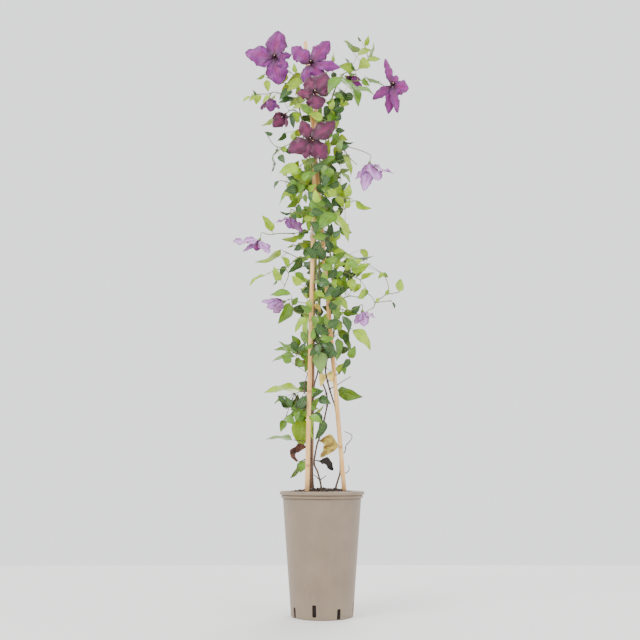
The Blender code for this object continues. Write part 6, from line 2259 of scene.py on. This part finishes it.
@dataclass(frozen=True)
class Soil:
    """The potting mix: a crumbly mound with loose crumbs and chips lying on it."""

    pot: Pot
    edge_drop: float = 0.006
    crown_rise: float = 0.009
    crumb: float = 0.0026
    touch_gap: float = 0.0003
    sides: int = 110
    rings: int = 40
    crumbs: int = 900
    chips: int = 80
    straw: Colour = srgb(150, 122, 84)
    bark: Colour = srgb(92, 62, 42)

    @property
    def edge_height(self) -> float:
        """The height of the soil where it meets the pot."""
        return self.pot.height - self.edge_drop

    @property
    def radius(self) -> float:
        """The radius of the soil where it meets the pot."""
        return self.pot.inner_radius(self.edge_height - 0.004) - self.touch_gap

    def top(self, x: float, y: float) -> float:
        """Return the height of the soil's top at a place."""
        share = min(1.0, math.hypot(x, y) / self.radius)
        spot = Vector((x, y, 0))
        rough = (0.7 * noise.noise(spot * 95) + 0.5 * noise.noise(spot * 240)
                 + 0.4 * noise.noise(spot * 520))
        settled = self.crown_rise * (1 - share ** 2)
        return self.edge_height + settled + self.crumb * rough * (1 - share ** 6)

    def build(self, material: bpy.types.Material) -> None:
        """Build the soil and dress it.

        Args:
            material: The soil finish.
        """
        foot = self.pot.floor + self.touch_gap
        outline = [(0, foot), (self.pot.inner_radius(foot) - self.touch_gap, foot),
                   (self.radius, self.edge_height)]
        outline += [(self.radius * (1 - ring / self.rings), self.edge_height + self.crown_rise)
                    for ring in range(1, self.rings)]
        outline.append((0, self.edge_height + self.crown_rise))
        bm = turned(outline, self.sides)
        for vert in bm.verts:
            if vert.co.z > self.edge_height + self.touch_gap:
                vert.co.z = self.top(vert.co.x, vert.co.y)
        tints = bm.verts.layers.float_color.new("tint")
        chips = bm.verts.layers.float.new("chip")
        draw = random.Random(5)
        for number in range(self.crumbs + self.chips):
            is_chip = number >= self.crumbs
            self.add_crumb(bm, is_chip, draw, tints, chips)
        publish(bm, "soil_mound", material, ["soil"], 80)

    def add_crumb(self, bm: bmesh.types.BMesh, is_chip: bool, draw: random.Random,
                  tints: bmesh.types.BMLayerItem, chips: bmesh.types.BMLayerItem) -> None:
        """Add one loose crumb, or one flat chip of bark.

        Args:
            bm: What it is added to.
            is_chip: Whether it is a chip.
            draw: The source of its size and place.
            tints: The layer for its colour.
            chips: The layer for how much of that colour shows.
        """
        verts = bmesh.ops.create_icosphere(bm, subdivisions=1, radius=1)["verts"]
        size = draw.uniform(0.0010, 0.0030)
        shares = (2.4, 0.9, 0.45) if is_chip else (1.2, 0.9, 0.8)
        bmesh.ops.scale(bm, vec=[size * share for share in shares], verts=verts)
        for vert in verts:
            vert.co *= draw.uniform(0.75, 1.2)
        tilt = (Matrix.Rotation(draw.uniform(0, math.tau), 3, "Z")
                @ Matrix.Rotation(draw.uniform(-0.6, 0.6), 3, "X"))
        bmesh.ops.rotate(bm, cent=(0, 0, 0), matrix=tilt, verts=verts)
        away = (self.radius - 0.004) * math.sqrt(draw.random())
        angle = draw.uniform(0, math.tau)
        x, y = away * math.cos(angle), away * math.sin(angle)
        bmesh.ops.translate(bm, vec=(x, y, self.top(x, y) + size * 0.15), verts=verts)
        tint = vary(self.straw if draw.random() < 0.3 else self.bark, draw, 0.3)
        for vert in verts:
            vert[tints] = tint
            vert[chips] = draw.uniform(0.7, 1.0) if is_chip else draw.uniform(0.0, 0.35)


@dataclass(frozen=True)
class Studio:
    """A plain pale floor, soft light and a pale surround."""

    floor_front: float = -2.2
    floor_back: float = 0.85
    floor_half_width: float = 2.4
    floor_colour: Colour = srgb(232, 230, 227)
    air_strength: float = 1.7

    def add_floor(self) -> None:
        """Add the floor."""
        shader = Shader("pale floor")
        cloud = shader.grain(shader.place(), 3.0, 3.0)
        material = shader.finish(shader.tinted(self.floor_colour, cloud, 0.985, 1.0), 0.75)
        bm = bmesh.new()
        bmesh.ops.create_grid(bm, x_segments=1, y_segments=1, size=1)
        depth = (self.floor_back - self.floor_front) / 2
        middle = (self.floor_back + self.floor_front) / 2
        bmesh.ops.scale(bm, vec=(self.floor_half_width, depth, 1), verts=bm.verts)
        bmesh.ops.translate(bm, vec=(0, middle, 0), verts=bm.verts)
        mesh = bpy.data.meshes.new("floor")
        bm.to_mesh(mesh)
        bm.free()
        mesh.materials.append(material)
        floor = bpy.data.objects.new("floor", mesh)
        bpy.context.scene.collection.objects.link(floor)

    def add_air(self) -> None:
        """Surround the scene with pale light."""
        world = bpy.data.worlds.new("pale surround")
        world.use_nodes = True
        air = world.node_tree.nodes["Background"]
        air.inputs["Color"].default_value = (0.97, 0.98, 1.0, 1.0)
        air.inputs["Strength"].default_value = self.air_strength
        bpy.context.scene.world = world

    def add_lamp(self, name: str, place: tuple, target: tuple, size: float,
                 watts: float) -> None:
        """Add one soft lamp.

        Args:
            name: Its name.
            place: Where it hangs.
            target: What it looks at.
            size: The side of its square.
            watts: Its power.
        """
        lamp = bpy.data.lights.new(name, "AREA")
        lamp.size = size
        lamp.energy = watts
        holder = bpy.data.objects.new(name, lamp)
        holder.location = place
        aim = Vector(target) - Vector(place)
        holder.rotation_euler = aim.to_track_quat("-Z", "Y").to_euler()
        bpy.context.scene.collection.objects.link(holder)

    def build(self) -> None:
        """Set the stage."""
        self.add_floor()
        self.add_air()
        self.add_lamp("window", (-1.6, -1.6, 2.2), (0, 0, 0.6), 1.4, 60)
        self.add_lamp("fill", (1.8, -1.2, 1.3), (0, 0, 0.5), 1.6, 14)
        self.add_lamp("back", (0.6, 1.8, 2.0), (0, 0, 0.7), 1.4, 40)
        VIEW.add_camera()


def main() -> None:
    """Build every piece of the plant, its pot and the studio."""
    logging.basicConfig(level=logging.INFO, format="%(message)s")
    Studio().build()
    pot = Pot()
    pot.build(PotFinish().material())
    Soil(pot).build(SoilFinish().material())
    bamboo = BambooFinish().material()
    # The back cane gets a darker copy of the bamboo finish: painted shade, as it stands in shadow
    # behind the left cane.
    shade_darkened_bamboo = BambooFinish(srgb(128, 84, 50), srgb(160, 110, 68), srgb(92, 56, 34),
                              srgb(58, 36, 24), srgb(50, 32, 22), "shade darkened bamboo").material()
    for index, plan in enumerate(CANES):
        finish = shade_darkened_bamboo if plan.name == "cane_back" else bamboo
        BambooCane(plan, 0.140 + 0.030 * index).build(finish)
    cord = CordFinish().material()
    for name, row in TIE_ROWS.items():
        CordTie(name, row).build(cord)
    growth = Growth()
    settled = growth.settle()
    bark = BarkFinish().material()
    for plan in WOODY_STEMS:
        WoodyStem(plan, growth).build(bark)
    dry_pattern = BladePattern(8, 24)
    finishes = {
        "withered_leaf": ShrivelledFinish("withered leaf", srgb(190, 172, 74), srgb(140, 112, 56),
                                          srgb(120, 92, 50)),
        "black_leaf": ShrivelledFinish("black leaf", srgb(44, 34, 30), srgb(26, 20, 20),
                                       srgb(70, 56, 46)),
        "dead_leaf": ShrivelledFinish("dead leaf", srgb(98, 56, 38), srgb(58, 34, 28),
                                      srgb(134, 88, 58)),
    }
    slots = {"withered_leaf": "withered_leaf", "black_leaf": "dead_leaf", "dead_leaf": "dead_leaf"}
    for plan in DEAD_LEAVES:
        leaf = ShrivelledLeaf(plan, growth)
        leaf.build(dry_pattern, finishes[plan.name].material(), slots[plan.name])
    stem_green = GreenStemFinish().material()
    leaf_green = LeafFinish().material()
    fine_leaf = BladePattern(6, 10)
    coarse_leaf = BladePattern(4, 7)
    for plan in LEAFY_LENGTHS:
        length = LeafyLength(plan, growth)
        length.build_stems(settled[plan.name], stem_green)
        length.build_leaves(settled[plan.name], fine_leaf, coarse_leaf, leaf_green)
    velvet = SepalFinish().material()
    stamen = StamenFinish().material()
    sepal_pattern = BladePattern(10, 16)
    for plan in BLOOMS:
        flower = Flower(plan)
        flower.build_sepals(sepal_pattern, velvet)
        flower.build_boss(stamen)


if __name__ == "__main__":
    main()
